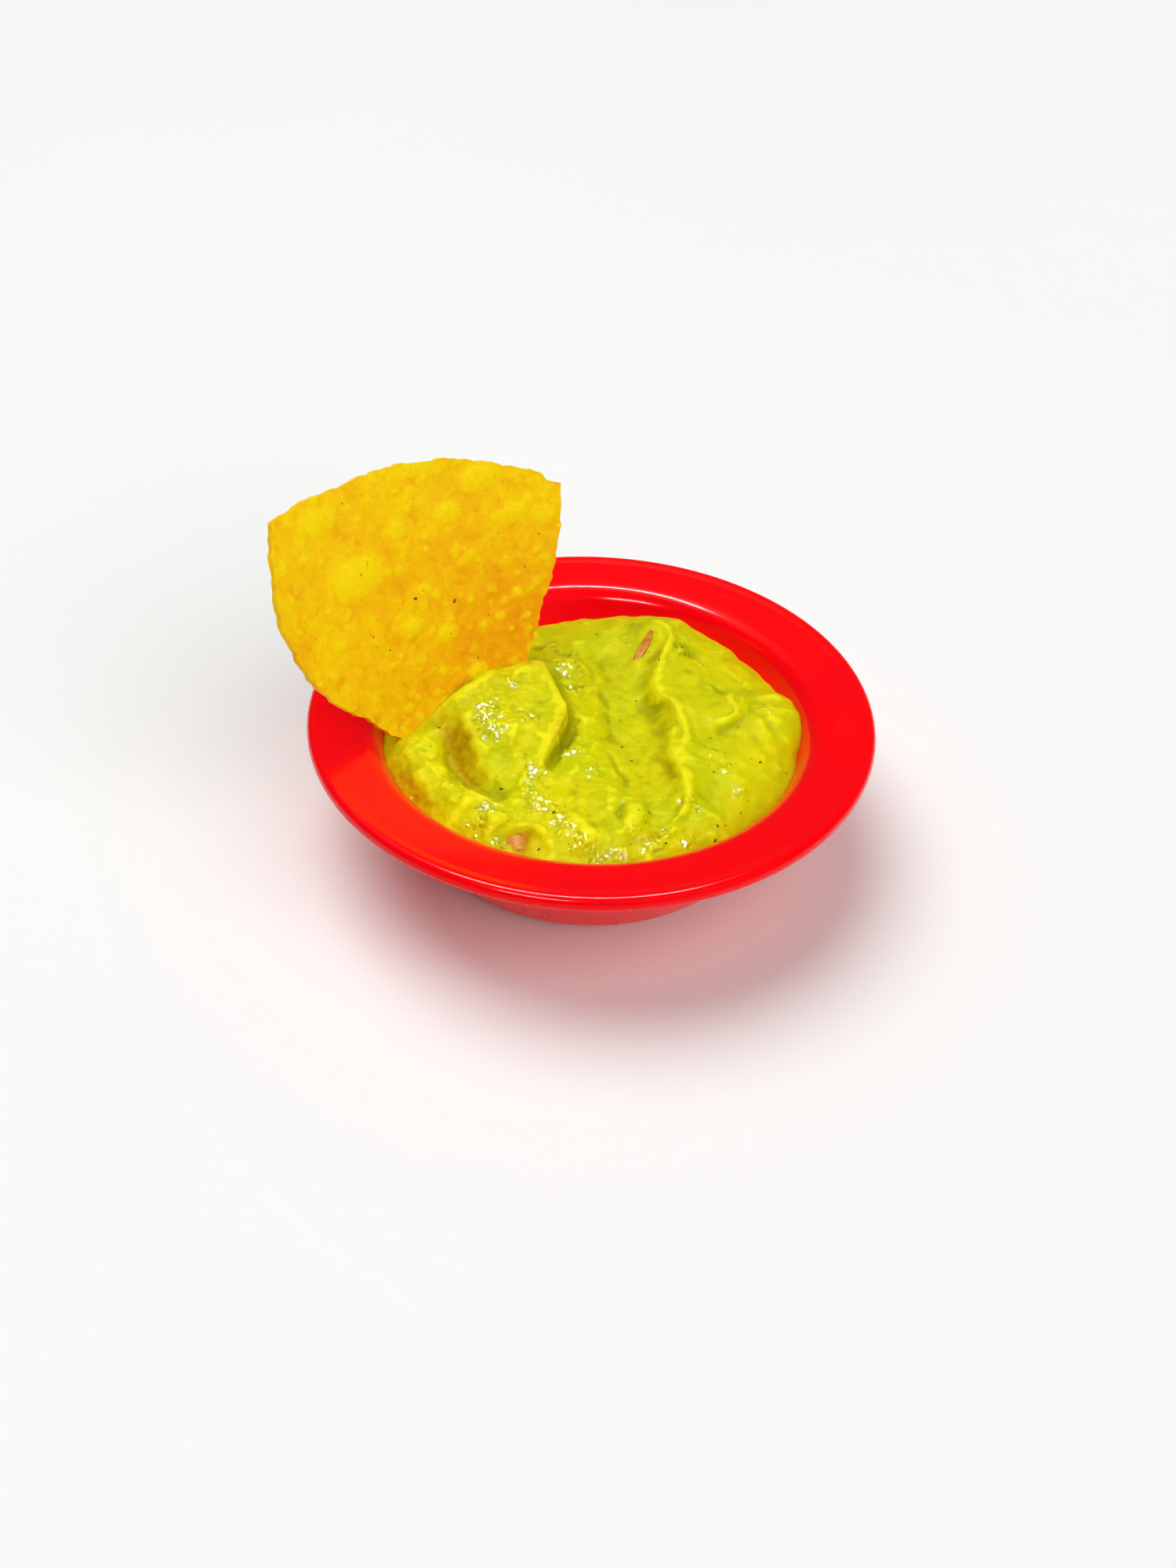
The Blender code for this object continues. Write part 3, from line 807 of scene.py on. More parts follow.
all_places = coordinates(paste)
on_top = np.zeros(len(all_places))
on_top[: len(share)] = 1.0 - np.clip(share, 0.0, 1.0) ** RELIEF_FADE_POWER
in_mm = all_places / MM
wet = painted(WET_PLACES, in_mm[:, 0], in_mm[:, 1]) * on_top


def paint_group(piece, name, weights):
    """Store a mask as a vertex group, in steps of a twentieth."""
    group = piece.vertex_groups.new(name=name)
    steps = np.round(np.asarray(weights) * 20).astype(int)
    for step in range(1, 21):
        group.add(np.nonzero(steps == step)[0].tolist(), step / 20.0, "REPLACE")


def raise_relief(piece, name, spot_size, depth, group, detail=1):
    """Push the surface in and out by cloudy noise, as far as the mask allows."""
    pattern = bpy.data.textures.new(name, "CLOUDS")
    pattern.noise_scale = spot_size
    pattern.noise_basis = "ORIGINAL_PERLIN"
    pattern.noise_depth = detail
    relief = piece.modifiers.new(name, "DISPLACE")
    relief.texture = pattern
    relief.texture_coords = "LOCAL"
    relief.strength = depth
    relief.mid_level = 0.5
    relief.vertex_group = group
    bpy.ops.object.modifier_apply(modifier=name)


paint_group(paste, "open", on_top)
paint_group(paste, "wet", wet)
towards_front_left = np.clip(0.5 - (in_mm[:, 0] + 0.6 * in_mm[:, 1]) / 40.0, 0.0, 1.0)
paint_group(paste, "lumpy", on_top * (0.4 + 0.6 * towards_front_left))
raise_relief(paste, "swells", 5.5 * MM, 1.1 * MM, "open")
raise_relief(paste, "small_lumps", 2.1 * MM, 0.75 * MM, "lumpy")
raise_relief(paste, "wet_grain", 0.85 * MM, 1.15 * MM, "wet")
in_mm = coordinates(paste) / MM
print("wet share of the surface:", round(float(wet[: len(share)].mean()), 3))

# %% [markdown]
# The colour needs masks too. Brown laid along the furrows and wrinkles, along the foot of both side
# walls, into the notch of the long crest, the hollow under the heap's crest and the valley under the
# chip is painted shade, darkest deep in the folds. The brown round the sunk tomato at the front is
# the paste's own, browned in the air, and a few faint brown spots lie on the heap and in the middle.
# A second mask, how far each place lies below its neighbours, gives painted shade in the hollows and
# painted light on the crests. Numbers for that go onto the vertices, where the material reads them.

# %% Browned places, painted shade and painted light
# Lines of brown that stand for painted shade: furrows, wrinkles, wall feet, under the crest and under the
# chip.
PAINTED_SHADE_STROKES = (
    (((-34, -1), (-30, -7), (-27, -13), (-24, -18), (-19, -22)), 0.75, 3.2, 2.4),
    (((-41, -13), (-38.5, -19), (-34, -25), (-29, -30)), 0.75, 2.0, 2.0),
    (((-36, 0), (-31, 4), (-27, 8)), 0.7, 1.2, 1.2),
    (((30, 31), (35, 24), (39, 15)), 0.45, 2.0, 2.0),
    (((43, 4), (43.5, -4), (41.5, -13)), 0.4, 1.6, 1.6),
    (((34, 5), (38, -2), (41, -9)), 0.35, 1.0, 1.0),
    (((32, 0), (36, -8), (38, -16)), 0.3, 1.0, 1.0),
    (((6, -38.5), (11, -36.5), (15, -33)), 0.5, 1.6, 1.6),
    (((-5.6, -2), (-6.6, -7), (-8.6, -13)), 0.55, 1.0, 1.0),
)
# Spots of brown: the first, round the sunk tomato, is the paste's own; the last, in the notch, is painted
# shade.
BROWN_AND_SHADE_LUMPS = (
    ((-13.2, -37.0), 1.0, 3.3),
    ((-20, 8), 0.35, 2.4),
    ((-24, -9), 0.35, 3.0),
    ((4, -2), 0.3, 2.0),
    ((16.6, -15.5), 0.4, 1.6),
)
GREEN_LUMPS = (
    ((19.4, 25.2), 1.0, 2.6),
    ((22.8, 24.6), 0.45, 2.6),
    ((12.8, 4.4), 0.6, 3.6),
    ((5.0, 0.0), 0.5, 2.4),
    ((9, 34), 0.5, 4.0),
    ((-8, 35), 0.45, 3.4),
    ((6.5, -6), 0.45, 2.0),
    ((8.6, -11), 0.35, 2.0),
    ((2.6, 22), 0.45, 4.0),
    ((3, 12), 0.35, 3.6),
    ((-12.4, 26.5), 0.6, 1.8),
    ((-33, -5), 0.4, 2.0),
    ((-18, -21.5), 0.45, 2.0),
    ((15.6, 20), 0.35, 2.0),
    ((17, -30), 0.35, 2.6),
)
# One mask of brown: painted shade in the folds, and real browning round the tomato.
brown_and_shade = sum(stroke_height(in_mm[:, 0], in_mm[:, 1], stroke) for stroke in PAINTED_SHADE_STROKES)
brown_and_shade = brown_and_shade + sum(lump_height(in_mm[:, 0], in_mm[:, 1], lump) for lump in BROWN_AND_SHADE_LUMPS)
greener = sum(lump_height(in_mm[:, 0], in_mm[:, 1], lump) for lump in GREEN_LUMPS)
add_attribute(paste, "brown_and_shade", np.clip(brown_and_shade, 0.0, 1.0))
add_attribute(paste, "greener", np.clip(greener, 0.0, 1.0))
add_attribute(paste, "wet_skin", wet)


def blurred(field, reach):
    """A field on the grid, averaged over about this many cells each way."""
    steps = np.arange(-3 * reach, 3 * reach + 1)
    weights = np.exp(-((steps / reach) ** 2))
    weights /= weights.sum()
    padded = np.pad(field, 3 * reach, mode="edge")
    rows = np.apply_along_axis(lambda row: np.convolve(row, weights, mode="valid"), 1, padded)
    return np.apply_along_axis(lambda row: np.convolve(row, weights, mode="valid"), 0, rows)


# How far each place lies below its smoothed surroundings: the material uses it for painted shade in the
# hollows and painted light on the crests.
side = PASTE_CELLS + 1
relief_map = in_mm[: side * side, 2].reshape(side, side)
hollow = np.zeros(len(in_mm))
hollow[: side * side] = (blurred(relief_map, 4) - relief_map).ravel()
broad_hollow = np.zeros(len(in_mm))
broad_hollow[: side * side] = (blurred(relief_map, 11) - relief_map).ravel()
add_attribute(paste, "hollow", np.clip(0.5 + hollow * 1.6 + broad_hollow * 0.35, 0.0, 1.0) * (on_top > 0.0))
print("deepest small hollow in mm:", round(float(hollow.max()), 2))

# %% [markdown]
# Mashed avocado is a soft fat paste, so light goes in and comes out a little further on. That is
# subsurface scattering, and it keeps the folds from going grey. The yellow-green drifts between
# two tones in trails along the strokes. A clear coat gives the wet places their shine: its weight
# is the painted mask times a noise, so that the juice lies in droplets. The rest keeps a dull sheen
# with a yellow tint, as a fat surface has.

# %% Yellow-green paste
avocado = Finish("avocado_paste")
drift = avocado.noise(13 * MM, detail=3.0, warp=0.6)
trail_run = avocado.stretched((330.0, 75.0, 120.0), (0.0, 0.0, math.radians(-12.0)))
trails = avocado.add(
    "ShaderNodeTexNoise", {"Vector": trail_run, "Scale": 1.0, "Detail": 3.0, "Distortion": 0.8}
).outputs["Fac"]
mottle = avocado.noise(1.6 * MM, detail=4.0, rough=0.65)
hollow_shade_and_crest_light = avocado.vertex_value("hollow")
tone = avocado.mix(avocado.span(drift, 0.32, 0.68), paint(210, 202, 0), paint(190, 194, 0))
tone = avocado.mix(avocado.span(trails, 0.46, 0.72, 0.0, 0.45), tone, paint(172, 182, 4))
tone = avocado.mix(avocado.span(mottle, 0.5, 0.8, 0.0, 0.35), tone, paint(188, 182, 2))
tone = avocado.mix(avocado.span(mottle, 0.44, 0.24, 0.0, 0.35), tone, paint(236, 228, 14))
green_share = avocado.sum(
    avocado.vertex_value("greener"), avocado.span(mottle, 0.3, 0.7, 0.5, 1.2), "MULTIPLY"
)
tone = avocado.mix(avocado.span(green_share, 0.0, 1.0, 0.0, 0.7), tone, paint(118, 136, 6))
# Painted shade darkens the hollows, and painted light brightens the crests.
tone = avocado.mix(avocado.span(hollow_shade_and_crest_light, 0.58, 1.0, 0.0, 0.65), tone, paint(148, 142, 0))
tone = avocado.mix(avocado.span(hollow_shade_and_crest_light, 0.42, 0.1, 0.0, 0.6), tone, paint(240, 234, 24))
# Brown mixed into the paste's colour: painted shade in the folds, and real browning round the tomato.
brown_and_shade_share = avocado.sum(
    avocado.vertex_value("brown_and_shade"), avocado.span(mottle, 0.3, 0.7, 0.6, 1.25), "MULTIPLY"
)
tone = avocado.mix(avocado.span(brown_and_shade_share, 0.0, 1.0, 0.0, 0.85), tone, paint(178, 120, 0))
wet_skin = avocado.vertex_value("wet_skin")
avocado.link(tone, "Base Color")
avocado.link(avocado.span(wet_skin, 0.0, 1.0, 0.5, 0.22), "Roughness")
droplets = avocado.span(avocado.noise(1.5 * MM, detail=2.0), 0.40, 0.56)
avocado.link(avocado.sum(wet_skin, droplets, "MULTIPLY"), "Coat Weight")
avocado.set(
    Subsurface_Weight=0.2,
    Subsurface_Radius=(1.0, 0.85, 0.12),
    Subsurface_Scale=1.2 * MM,
    Specular_IOR_Level=0.2,
    Specular_Tint=(1.0, 0.95, 0.05, 1.0),
    Coat_Roughness=0.05,
    Coat_IOR=1.5,
)
grain = avocado.sum(
    avocado.noise(1.0 * MM, detail=2.5), avocado.span(wet_skin, 0.0, 1.0, 0.5, 2.6), "MULTIPLY"
)
avocado.bump(grain, 0.16 * MM, 0.8)

guacamole = finish_piece("guacamole_paste", avocado.material, 180.0)
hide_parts("guacamole")

# %% [markdown]
# ## The chip
#
# A tortilla chip is a thin sheet cut from a round, fried until it bends and blisters. So it starts
# as a flat grid, drawn between four curved sides, then it is bent about an upright axis and leant
# back, thickened with Solidify and rounded with Bevel. The sides, the bend and the lean repeat the
# packed chip's.

# %% Flat outline of the chip
CHIP_PIVOT = Vector((-28.63 * MM, 5.74 * MM, RIM_PLANE - 0.5 * MM))
CHIP_TURN = math.radians(44.0)
CHIP_LEAN = math.radians(25.0)
CHIP_BEND_RADIUS = 156.0
CHIP_THICKNESS = 1.8
CHIP_CELLS = 190
CHIP_MIDDLE = (1.0, 18.0)

# The ragged rim is trimmed back by this many mm, and fades inwards at this power.
RIM_TRIM = 0.6
RIM_POWER = 8

# The crumb lost at the upper right corner, in mm.
LOST_CRUMB_MIDDLE = (36.2, 36.4)
LOST_CRUMB_REACH = (1.8, 1.6)
LOST_CRUMB_DEPTH = 1.4

# Room in mm that the two crusts leave for the blisters.
BLISTER_ROOM = 0.5
BLISTER_EDGE_POWER = 1.6
FULL_LIFT = 0.28

# Sides of the flat chip as curves, in mm across and up from the pivot.
CHIP_LEFT_LOWER = ((-3.2, -19.2), (-11.5, -10.8), (-19.8, -2.4), (-28.0, 6.0))
CHIP_LEFT_UPPER = ((-28.0, 6.0), (-37.8, 16.0), (-40.0, 28.0), (-31.2, 48.0))
CHIP_RIGHT = ((0.8, -19.2), (13.0, -5.5), (32.6, 11.0), (37.6, 33.4))
CHIP_TOP = ((-31.2, 48.0), (-18.0, 50.2), (17.0, 53.8), (37.6, 33.4))
CHIP_TIP = ((-3.2, -19.2), (-2.4, -20.6), (0.0, -20.6), (0.8, -19.2))
LEFT_BREAK = 0.45


def curve_point(side, t):
    """Points of a cubic curve at an array of shares from 0 to 1."""
    t = t[:, None]
    weights = ((1 - t) ** 3, 3 * t * (1 - t) ** 2, 3 * t * t * (1 - t), t**3)
    return sum(weight * np.array(point) for weight, point in zip(weights, side))


def chip_flat(s, t):
    """Places of the flat chip, s across and t up, blended from its four sides."""
    lower = curve_point(CHIP_LEFT_LOWER, np.clip(t / LEFT_BREAK, 0.0, 1.0))
    upper = curve_point(CHIP_LEFT_UPPER, np.clip((t - LEFT_BREAK) / (1.0 - LEFT_BREAK), 0.0, 1.0))
    left = np.where((t < LEFT_BREAK)[:, None], lower, upper)
    right = curve_point(CHIP_RIGHT, t)
    low, high = curve_point(CHIP_TIP, s), curve_point(CHIP_TOP, s)
    s, t = s[:, None], t[:, None]
    corners = (1 - s) * (1 - t) * np.array(CHIP_TIP[0]) + s * (1 - t) * np.array(CHIP_TIP[3])
    corners = corners + (1 - s) * t * np.array(CHIP_TOP[0]) + s * t * np.array(CHIP_TOP[3])
    return (1 - s) * left + s * right + (1 - t) * low + t * high - corners


# %% [markdown]
# The cut edge isn't clean: it waves a little, and the upper right corner has lost a crumb. The
# blisters are where steam lifted the crust. The big ones are placed one by one, and many small
# ones are scattered with a fixed seed, which gives the same chip every time.

# %% Ragged edge and blisters
EDGE_WAVES = (
    (5.0, 0.20, 0.4),
    (11.0, 0.18, 2.1),
    (19.0, 0.14, 4.0),
    (37.0, 0.11, 1.2),
    (61.0, 0.10, 2.6),
    (97.0, 0.06, 0.9),
)

# Big blisters: middle in mm on the flat chip, half width, half height, and rise, all in mm.
BIG_BLISTERS = (
    (-20.5, 44.5, 5.2, 2.6, 0.40),
    (-15.5, 31.0, 6.2, 3.8, 0.55),
    (-3.5, 36.5, 3.0, 2.0, 0.40),
    (9.5, 36.0, 3.6, 2.2, 0.45),
    (18.5, 40.5, 4.4, 2.8, 0.50),
    (24.0, 31.0, 4.0, 2.0, 0.45),
    (31.0, 28.5, 3.4, 2.6, 0.35),
    (26.0, 43.0, 3.4, 1.8, 0.30),
    (6.0, 47.0, 5.0, 1.8, 0.35),
    (-6.5, 17.0, 2.6, 1.8, 0.35),
    (1.0, 12.5, 3.0, 1.8, 0.40),
    (5.5, 2.0, 2.6, 2.0, 0.40),
    (-4.5, -1.5, 1.8, 1.5, 0.35),
    (0.5, -10.0, 2.4, 1.8, 0.40),
    (-14.0, 1.5, 1.7, 1.3, 0.30),
    (-1.5, 23.0, 2.4, 1.5, 0.30),
    (-25.0, 20.0, 2.0, 1.6, 0.25),
    (12.0, 26.0, 2.6, 1.3, 0.25),
    (20.0, 14.5, 1.7, 1.2, 0.30),
    (14.5, 11.0, 1.5, 1.2, 0.30),
)
SMALL_BLISTERS = 420

random.seed(7)
blisters = list(BIG_BLISTERS)
for _ in range(SMALL_BLISTERS):
    width = random.uniform(0.5, 1.6)
    blisters.append(
        (
            random.uniform(-36.0, 37.0),
            random.uniform(-18.0, 51.0),
            width,
            width * random.uniform(0.6, 1.0),
            random.uniform(0.10, 0.28),
        )
    )


def blister_rise(u, v):
    """How far the crust is lifted, in mm, at places on the flat chip."""
    rise = np.zeros(len(u))
    for middle_u, middle_v, half_width, half_height, lift in blisters:
        away = ((u - middle_u) / half_width) ** 2 + ((v - middle_v) / half_height) ** 2
        rise = np.maximum(rise, lift * np.exp(-(away**BLISTER_EDGE_POWER)))
    return rise


# %% [markdown]
# Four steps make the chip: bend the flat grid, thicken it, round its rim, and lift the blisters on
# both faces. The crust's own waviness comes from three soft Displace modifiers.

# %% Bend, thicken and blister the chip
chip_across = Vector((math.cos(CHIP_TURN), math.sin(CHIP_TURN), 0.0))
level_out = Vector((math.sin(CHIP_TURN), -math.cos(CHIP_TURN), 0.0))
chip_up = Vector((0.0, 0.0, 1.0)) * math.cos(CHIP_LEAN) - level_out * math.sin(CHIP_LEAN)
chip_out = level_out * math.cos(CHIP_LEAN) + Vector((0.0, 0.0, 1.0)) * math.sin(CHIP_LEAN)

start_fresh()
bpy.ops.mesh.primitive_grid_add(
    x_subdivisions=CHIP_CELLS, y_subdivisions=CHIP_CELLS, size=1.0, location=(0.0, 0.0, 0.0)
)
chip = bpy.context.object
square = coordinates(chip)
s, t = square[:, 0] + 0.5, square[:, 1] + 0.5
flat = chip_flat(s, t)
middle = np.array(CHIP_MIDDLE)
from_middle = flat - middle
turn = np.arctan2(from_middle[:, 1], from_middle[:, 0])
to_rim = np.maximum(np.abs(square[:, 0]), np.abs(square[:, 1])) * 2.0
raggedness = sum(size * np.sin(count * turn + start) for count, size, start in EDGE_WAVES)
raggedness = raggedness - RIM_TRIM
crumb_middle, crumb_reach = np.array(LOST_CRUMB_MIDDLE), np.array(LOST_CRUMB_REACH)
lost_crumb = -LOST_CRUMB_DEPTH * np.exp(-(((flat - crumb_middle) / crumb_reach) ** 2).sum(1))
outward = from_middle / np.maximum(np.linalg.norm(from_middle, axis=1), 1.0)[:, None]
flat = flat + outward * ((raggedness + lost_crumb) * to_rim**RIM_POWER)[:, None]
u, v = flat[:, 0], flat[:, 1]
bend = u * u / (2.0 * CHIP_BEND_RADIUS)
sheet = np.array(CHIP_PIVOT)
sheet = sheet + np.outer(u, chip_across) * MM + np.outer(v, chip_up) * MM + np.outer(bend, chip_out) * MM
place_vertices(chip, sheet)

bpy.ops.object.mode_set(mode="EDIT")
bpy.ops.mesh.select_all(action="SELECT")
bpy.ops.mesh.normals_make_consistent(inside=False)
bpy.ops.object.mode_set(mode="OBJECT")
thicken = chip.modifiers.new("thicken", "SOLIDIFY")
thicken.thickness = (CHIP_THICKNESS - BLISTER_ROOM) * MM
thicken.offset = 0.0
bpy.ops.object.modifier_apply(modifier="thicken")
rounding = chip.modifiers.new("rounding", "BEVEL")
rounding.width = 0.35 * MM
rounding.segments = 2
rounding.limit_method = "ANGLE"
rounding.angle_limit = math.radians(60.0)
bpy.ops.object.modifier_apply(modifier="rounding")

solid = coordinates(chip)
offset = solid - np.array(CHIP_PIVOT)
u = offset @ np.array(chip_across) / MM
v = offset @ np.array(chip_up) / MM
depth = offset @ np.array(chip_out) / MM - u * u / (2.0 * CHIP_BEND_RADIUS)
lift = blister_rise(u, v)
face = np.clip(depth / BLISTER_ROOM, -1.0, 1.0)
solid = solid + np.outer(lift * face, chip_out) * MM
place_vertices(chip, solid)
add_attribute(chip, "blister", np.clip(lift / FULL_LIFT, 0.0, 1.0))
for name, spot, deep in (("crust_waves", 5.0, 0.35), ("crust_lumps", 2.2, 0.26), ("crust_grain", 0.9, 0.16)):
    paint_group(chip, name, np.ones(len(solid)))
    raise_relief(chip, name, spot * MM, deep * MM, name, detail=2)
print("chip from", np.round(coordinates(chip).min(0) / MM, 1))
print("chip to", np.round(coordinates(chip).max(0) / MM, 1))

# %% [markdown]
# Fried corn is deep yellow. Low on the chip and towards its right, where it comes down to the paste
# and the dish, it goes to a darker orange: that is painted shade, with random darker patches mixed
# in. The lifted blisters are paler, because the crust there is thin. Fine specks of bran and pores
# give the dry, gritty look, and a trace of oil gives a broad dull sheen.

# %% Fried corn
corn = Finish("fried_corn")
patches = corn.noise(14 * MM, detail=3.0, warp=0.4)
mealy = corn.noise(1.3 * MM, detail=5.0, rough=0.7)
pores = corn.noise(0.45 * MM, detail=2.0)
toast = corn.add("ShaderNodeSeparateXYZ", {"Vector": corn.place}).outputs
# Darker orange low on the chip and to its right is painted shade.
shade_low_on_chip = corn.span(toast["Z"], RIM_PLANE + 40 * MM, RIM_PLANE - 2 * MM)
shade_to_right = corn.span(toast["X"], -52 * MM, -12 * MM)
fry_patches_and_shade = corn.sum(corn.sum(shade_low_on_chip, shade_to_right, "MULTIPLY"), corn.span(patches, 0.35, 0.7, 0.0, 0.35), "ADD")
crust = corn.mix(fry_patches_and_shade, paint(255, 212, 0), paint(246, 162, 0))
mottled = corn.noise(3.4 * MM, detail=5.0, rough=0.65)
crust = corn.mix(corn.span(mottled, 0.50, 0.70, 0.0, 0.6), crust, paint(240, 152, 0))
crust = corn.mix(corn.span(mottled, 0.50, 0.32, 0.0, 0.55), crust, paint(255, 224, 0))
crust = corn.mix(corn.span(mealy, 0.45, 0.75, 0.0, 0.5), crust, paint(255, 182, 0))
lifted = corn.sum(corn.vertex_value("blister"), corn.span(mealy, 0.25, 0.75, 1.1, 0.5), "MULTIPLY")
crust = corn.mix(corn.span(lifted, 0.1, 1.0, 0.0, 0.75), crust, paint(255, 230, 0))
crust = corn.mix(corn.span(pores, 0.60, 0.76, 0.0, 0.4), crust, paint(232, 146, 0))
corn.link(crust, "Base Color")
corn.link(corn.span(mealy, 0.3, 0.7, 0.5, 0.68), "Roughness")
corn.set(
    Specular_IOR_Level=0.3,
    Specular_Tint=(1.0, 0.85, 0.2, 1.0),
    Subsurface_Weight=0.08,
    Subsurface_Radius=(1.0, 0.5, 0.1),
    Subsurface_Scale=1.0 * MM,
)
corn.bump(corn.noise(0.5 * MM, detail=4.0, rough=0.65), 0.2 * MM, 0.8)

corn_chip = finish_piece("corn_chip", corn.material, 60.0)
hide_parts("tortilla_chip")

# %% [markdown]
# ## What is in the paste
#
# The small things are separate pieces, one for each kind: scorched specks on the chip, strips and
# lumps of tomato, chopped green pepper, leaf flecks, and bits of orange pepper. Each is modelled
# once from a primitive, with edit-mode operators, then copied to its places. A ray dropped onto
# the finished paste finds how deep each one sits.

# %% Helpers for small pieces
RAY_START_HEIGHT = 0.2


def drop_onto(piece, x, y):
    """The place and the facing of a piece's surface under a point in mm."""
    above = Vector((x * MM, y * MM, RAY_START_HEIGHT))
    hit, place, normal, _ = piece.ray_cast(above, Vector((0.0, 0.0, -1.0)))
    assert hit
    return place, normal


def turned_to(normal, heading):
    """A turn that stands +Z on a surface and points +X in a heading, in degrees."""
    ahead = Vector((math.cos(math.radians(heading)), math.sin(math.radians(heading)), 0.0))
    side = normal.cross(ahead).normalized()
    ahead = side.cross(normal).normalized()
    return Matrix((ahead, side, normal)).transposed().to_4x4()


def copy_to(model, place, turn, size):
    """Copy a small model, with its own mesh, to a place on a surface."""
    copy = model.copy()
    copy.data = model.data.copy()
    bpy.context.scene.collection.objects.link(copy)
    copy.matrix_world = Matrix.Translation(place) @ turn @ Matrix.Diagonal((*size, 1.0))
    return copy


def join_copies(model, copies, name, material, sharp_angle=180.0):
    """Make one piece of all the copies, and throw the model away."""
    bpy.data.objects.remove(model)
    start_fresh()
    for copy in copies:
        copy.select_set(True)
    bpy.context.view_layer.objects.active = copies[0]
    bpy.ops.object.join()
    bpy.ops.object.transform_apply(location=True, rotation=True, scale=True)
    return finish_piece(name, material, sharp_angle)


def lumpy_crumb(levels, squash, roughness, seed):
    """A rounded crumb of unit radius, squashed and made uneven by vertex moves."""
    start_fresh()
    bpy.ops.mesh.primitive_ico_sphere_add(subdivisions=levels, radius=1.0, location=(0.0, 0.0, 0.0))
    bpy.ops.object.mode_set(mode="EDIT")
    bpy.ops.mesh.select_all(action="SELECT")
    bpy.ops.transform.resize(value=squash)
    bpy.ops.transform.vertex_random(offset=roughness, seed=seed, normal=0.8)
    bpy.ops.mesh.vertices_smooth(factor=0.4, repeat=1)
    bpy.ops.object.mode_set(mode="OBJECT")
    return bpy.context.object


# %% [markdown]
# The tomato strip lies on the far slope, half sunk, with its skin side up. It is a cube stretched
# along X, cut into lengths by subdividing, curved, and rounded with a subdivision surface. A soft
# lump of the same tomato is sunk in the hollow at the front.

# %% Tomato
start_fresh()
bpy.ops.mesh.primitive_cube_add(size=2.0, location=(0.0, 0.0, 0.0))
strip = bpy.context.object
bpy.ops.object.mode_set(mode="EDIT")
bpy.ops.mesh.select_all(action="SELECT")
bpy.ops.mesh.subdivide(number_cuts=5)
bpy.ops.transform.vertex_random(offset=0.06, seed=3)
bpy.ops.object.mode_set(mode="OBJECT")
shape = coordinates(strip)
shape[:, 1] = shape[:, 1] * (1.0 - 0.55 * shape[:, 0] ** 2) + 0.35 * shape[:, 0] ** 2
shape[:, 2] = shape[:, 2] * (1.0 - 0.5 * shape[:, 0] ** 2)
place_vertices(strip, shape)
smoothing = strip.modifiers.new("smoothing", "SUBSURF")
smoothing.levels = 2
smoothing.render_levels = 2
bpy.ops.object.modifier_apply(modifier="smoothing")

# Place in mm, heading in degrees, half sizes in mm, and how far it is sunk in mm.
TOMATO_PLACES = (
    ((11.2, 26.2), 64.0, (5.4, 1.05, 0.8), 0.30),
    ((-13.6, -37.0), 20.0, (2.5, 2.0, 1.3), 0.95),
)
tomato_pieces = []
for (x, y), heading, half_sizes, sunk in TOMATO_PLACES:
    place, normal = drop_onto(guacamole, x, y)
    size = [side * MM for side in half_sizes]
    tomato_pieces.append(
        copy_to(strip, place - normal * sunk * MM, turned_to(normal, heading), size)
    )

tomato = Finish("ripe_tomato")
flesh = tomato.noise(1.2 * MM, detail=3.0)
tomato.link(tomato.mix(tomato.span(flesh, 0.3, 0.7), paint(180, 88, 0), paint(204, 132, 0)), "Base Color")
tomato.link(tomato.span(flesh, 0.3, 0.7, 0.34, 0.48), "Roughness")
tomato.set(
    Subsurface_Weight=0.2,
    Subsurface_Radius=(1.0, 0.3, 0.1),
    Subsurface_Scale=0.8 * MM,
    Specular_IOR_Level=0.3,
    Specular_Tint=(1.0, 0.8, 0.4, 1.0),
)
tomato.bump(tomato.noise(0.5 * MM), 0.06 * MM)
join_copies(strip, tomato_pieces, "tomato_pieces", tomato.material)

# %% [markdown]
# The green pepper is a cluster of small uneven dice under a thin film of paste. One crumb, copied
# in several sizes side by side, reads as chopped pepper. The film is the paste's own colour mixed in.

# %% Green pepper
crumb = lumpy_crumb(3, (1.0, 0.85, 0.4), 0.10, 5)
PEPPER_PLACES = (
    ((18.2, 24.4), 20.0, 1.5),
    ((20.0, 25.4), 75.0, 1.7),
    ((21.6, 24.2), 130.0, 1.3),
    ((19.8, 23.3), 160.0, 1.2),
    ((12.2, 6.6), 40.0, 0.85),
    ((-12.6, 27.2), 100.0, 0.85),
)
PEPPER_SUNK_SHARE = 0.36

pepper_pieces = []
for (x, y), heading, half_size in PEPPER_PLACES:
    place, normal = drop_onto(guacamole, x, y)
    sunk = normal * half_size * PEPPER_SUNK_SHARE * MM
    pepper_pieces.append(copy_to(crumb, place - sunk, turned_to(normal, heading), [half_size * MM] * 3))

pepper = Finish("green_pepper")
film = pepper.noise(0.9 * MM, detail=3.0)
pepper.link(pepper.mix(pepper.span(film, 0.35, 0.7), paint(108, 126, 0), paint(160, 168, 0)), "Base Color")
pepper.link(pepper.span(film, 0.3, 0.7, 0.25, 0.4), "Roughness")
pepper.set(Specular_IOR_Level=0.2, Specular_Tint=(1.0, 1.0, 0.1, 1.0))
pepper.bump(pepper.noise(0.4 * MM), 0.05 * MM)
join_copies(crumb, pepper_pieces, "green_pepper_pieces", pepper.material)

# %% [markdown]
# Leaf flecks are chopped coriander: thin torn slivers, nearly black-green, lying flat in the
# surface. Some are placed where they show best, and the rest are scattered with a fixed seed. Each
# has only a few dozen faces, because there are many.

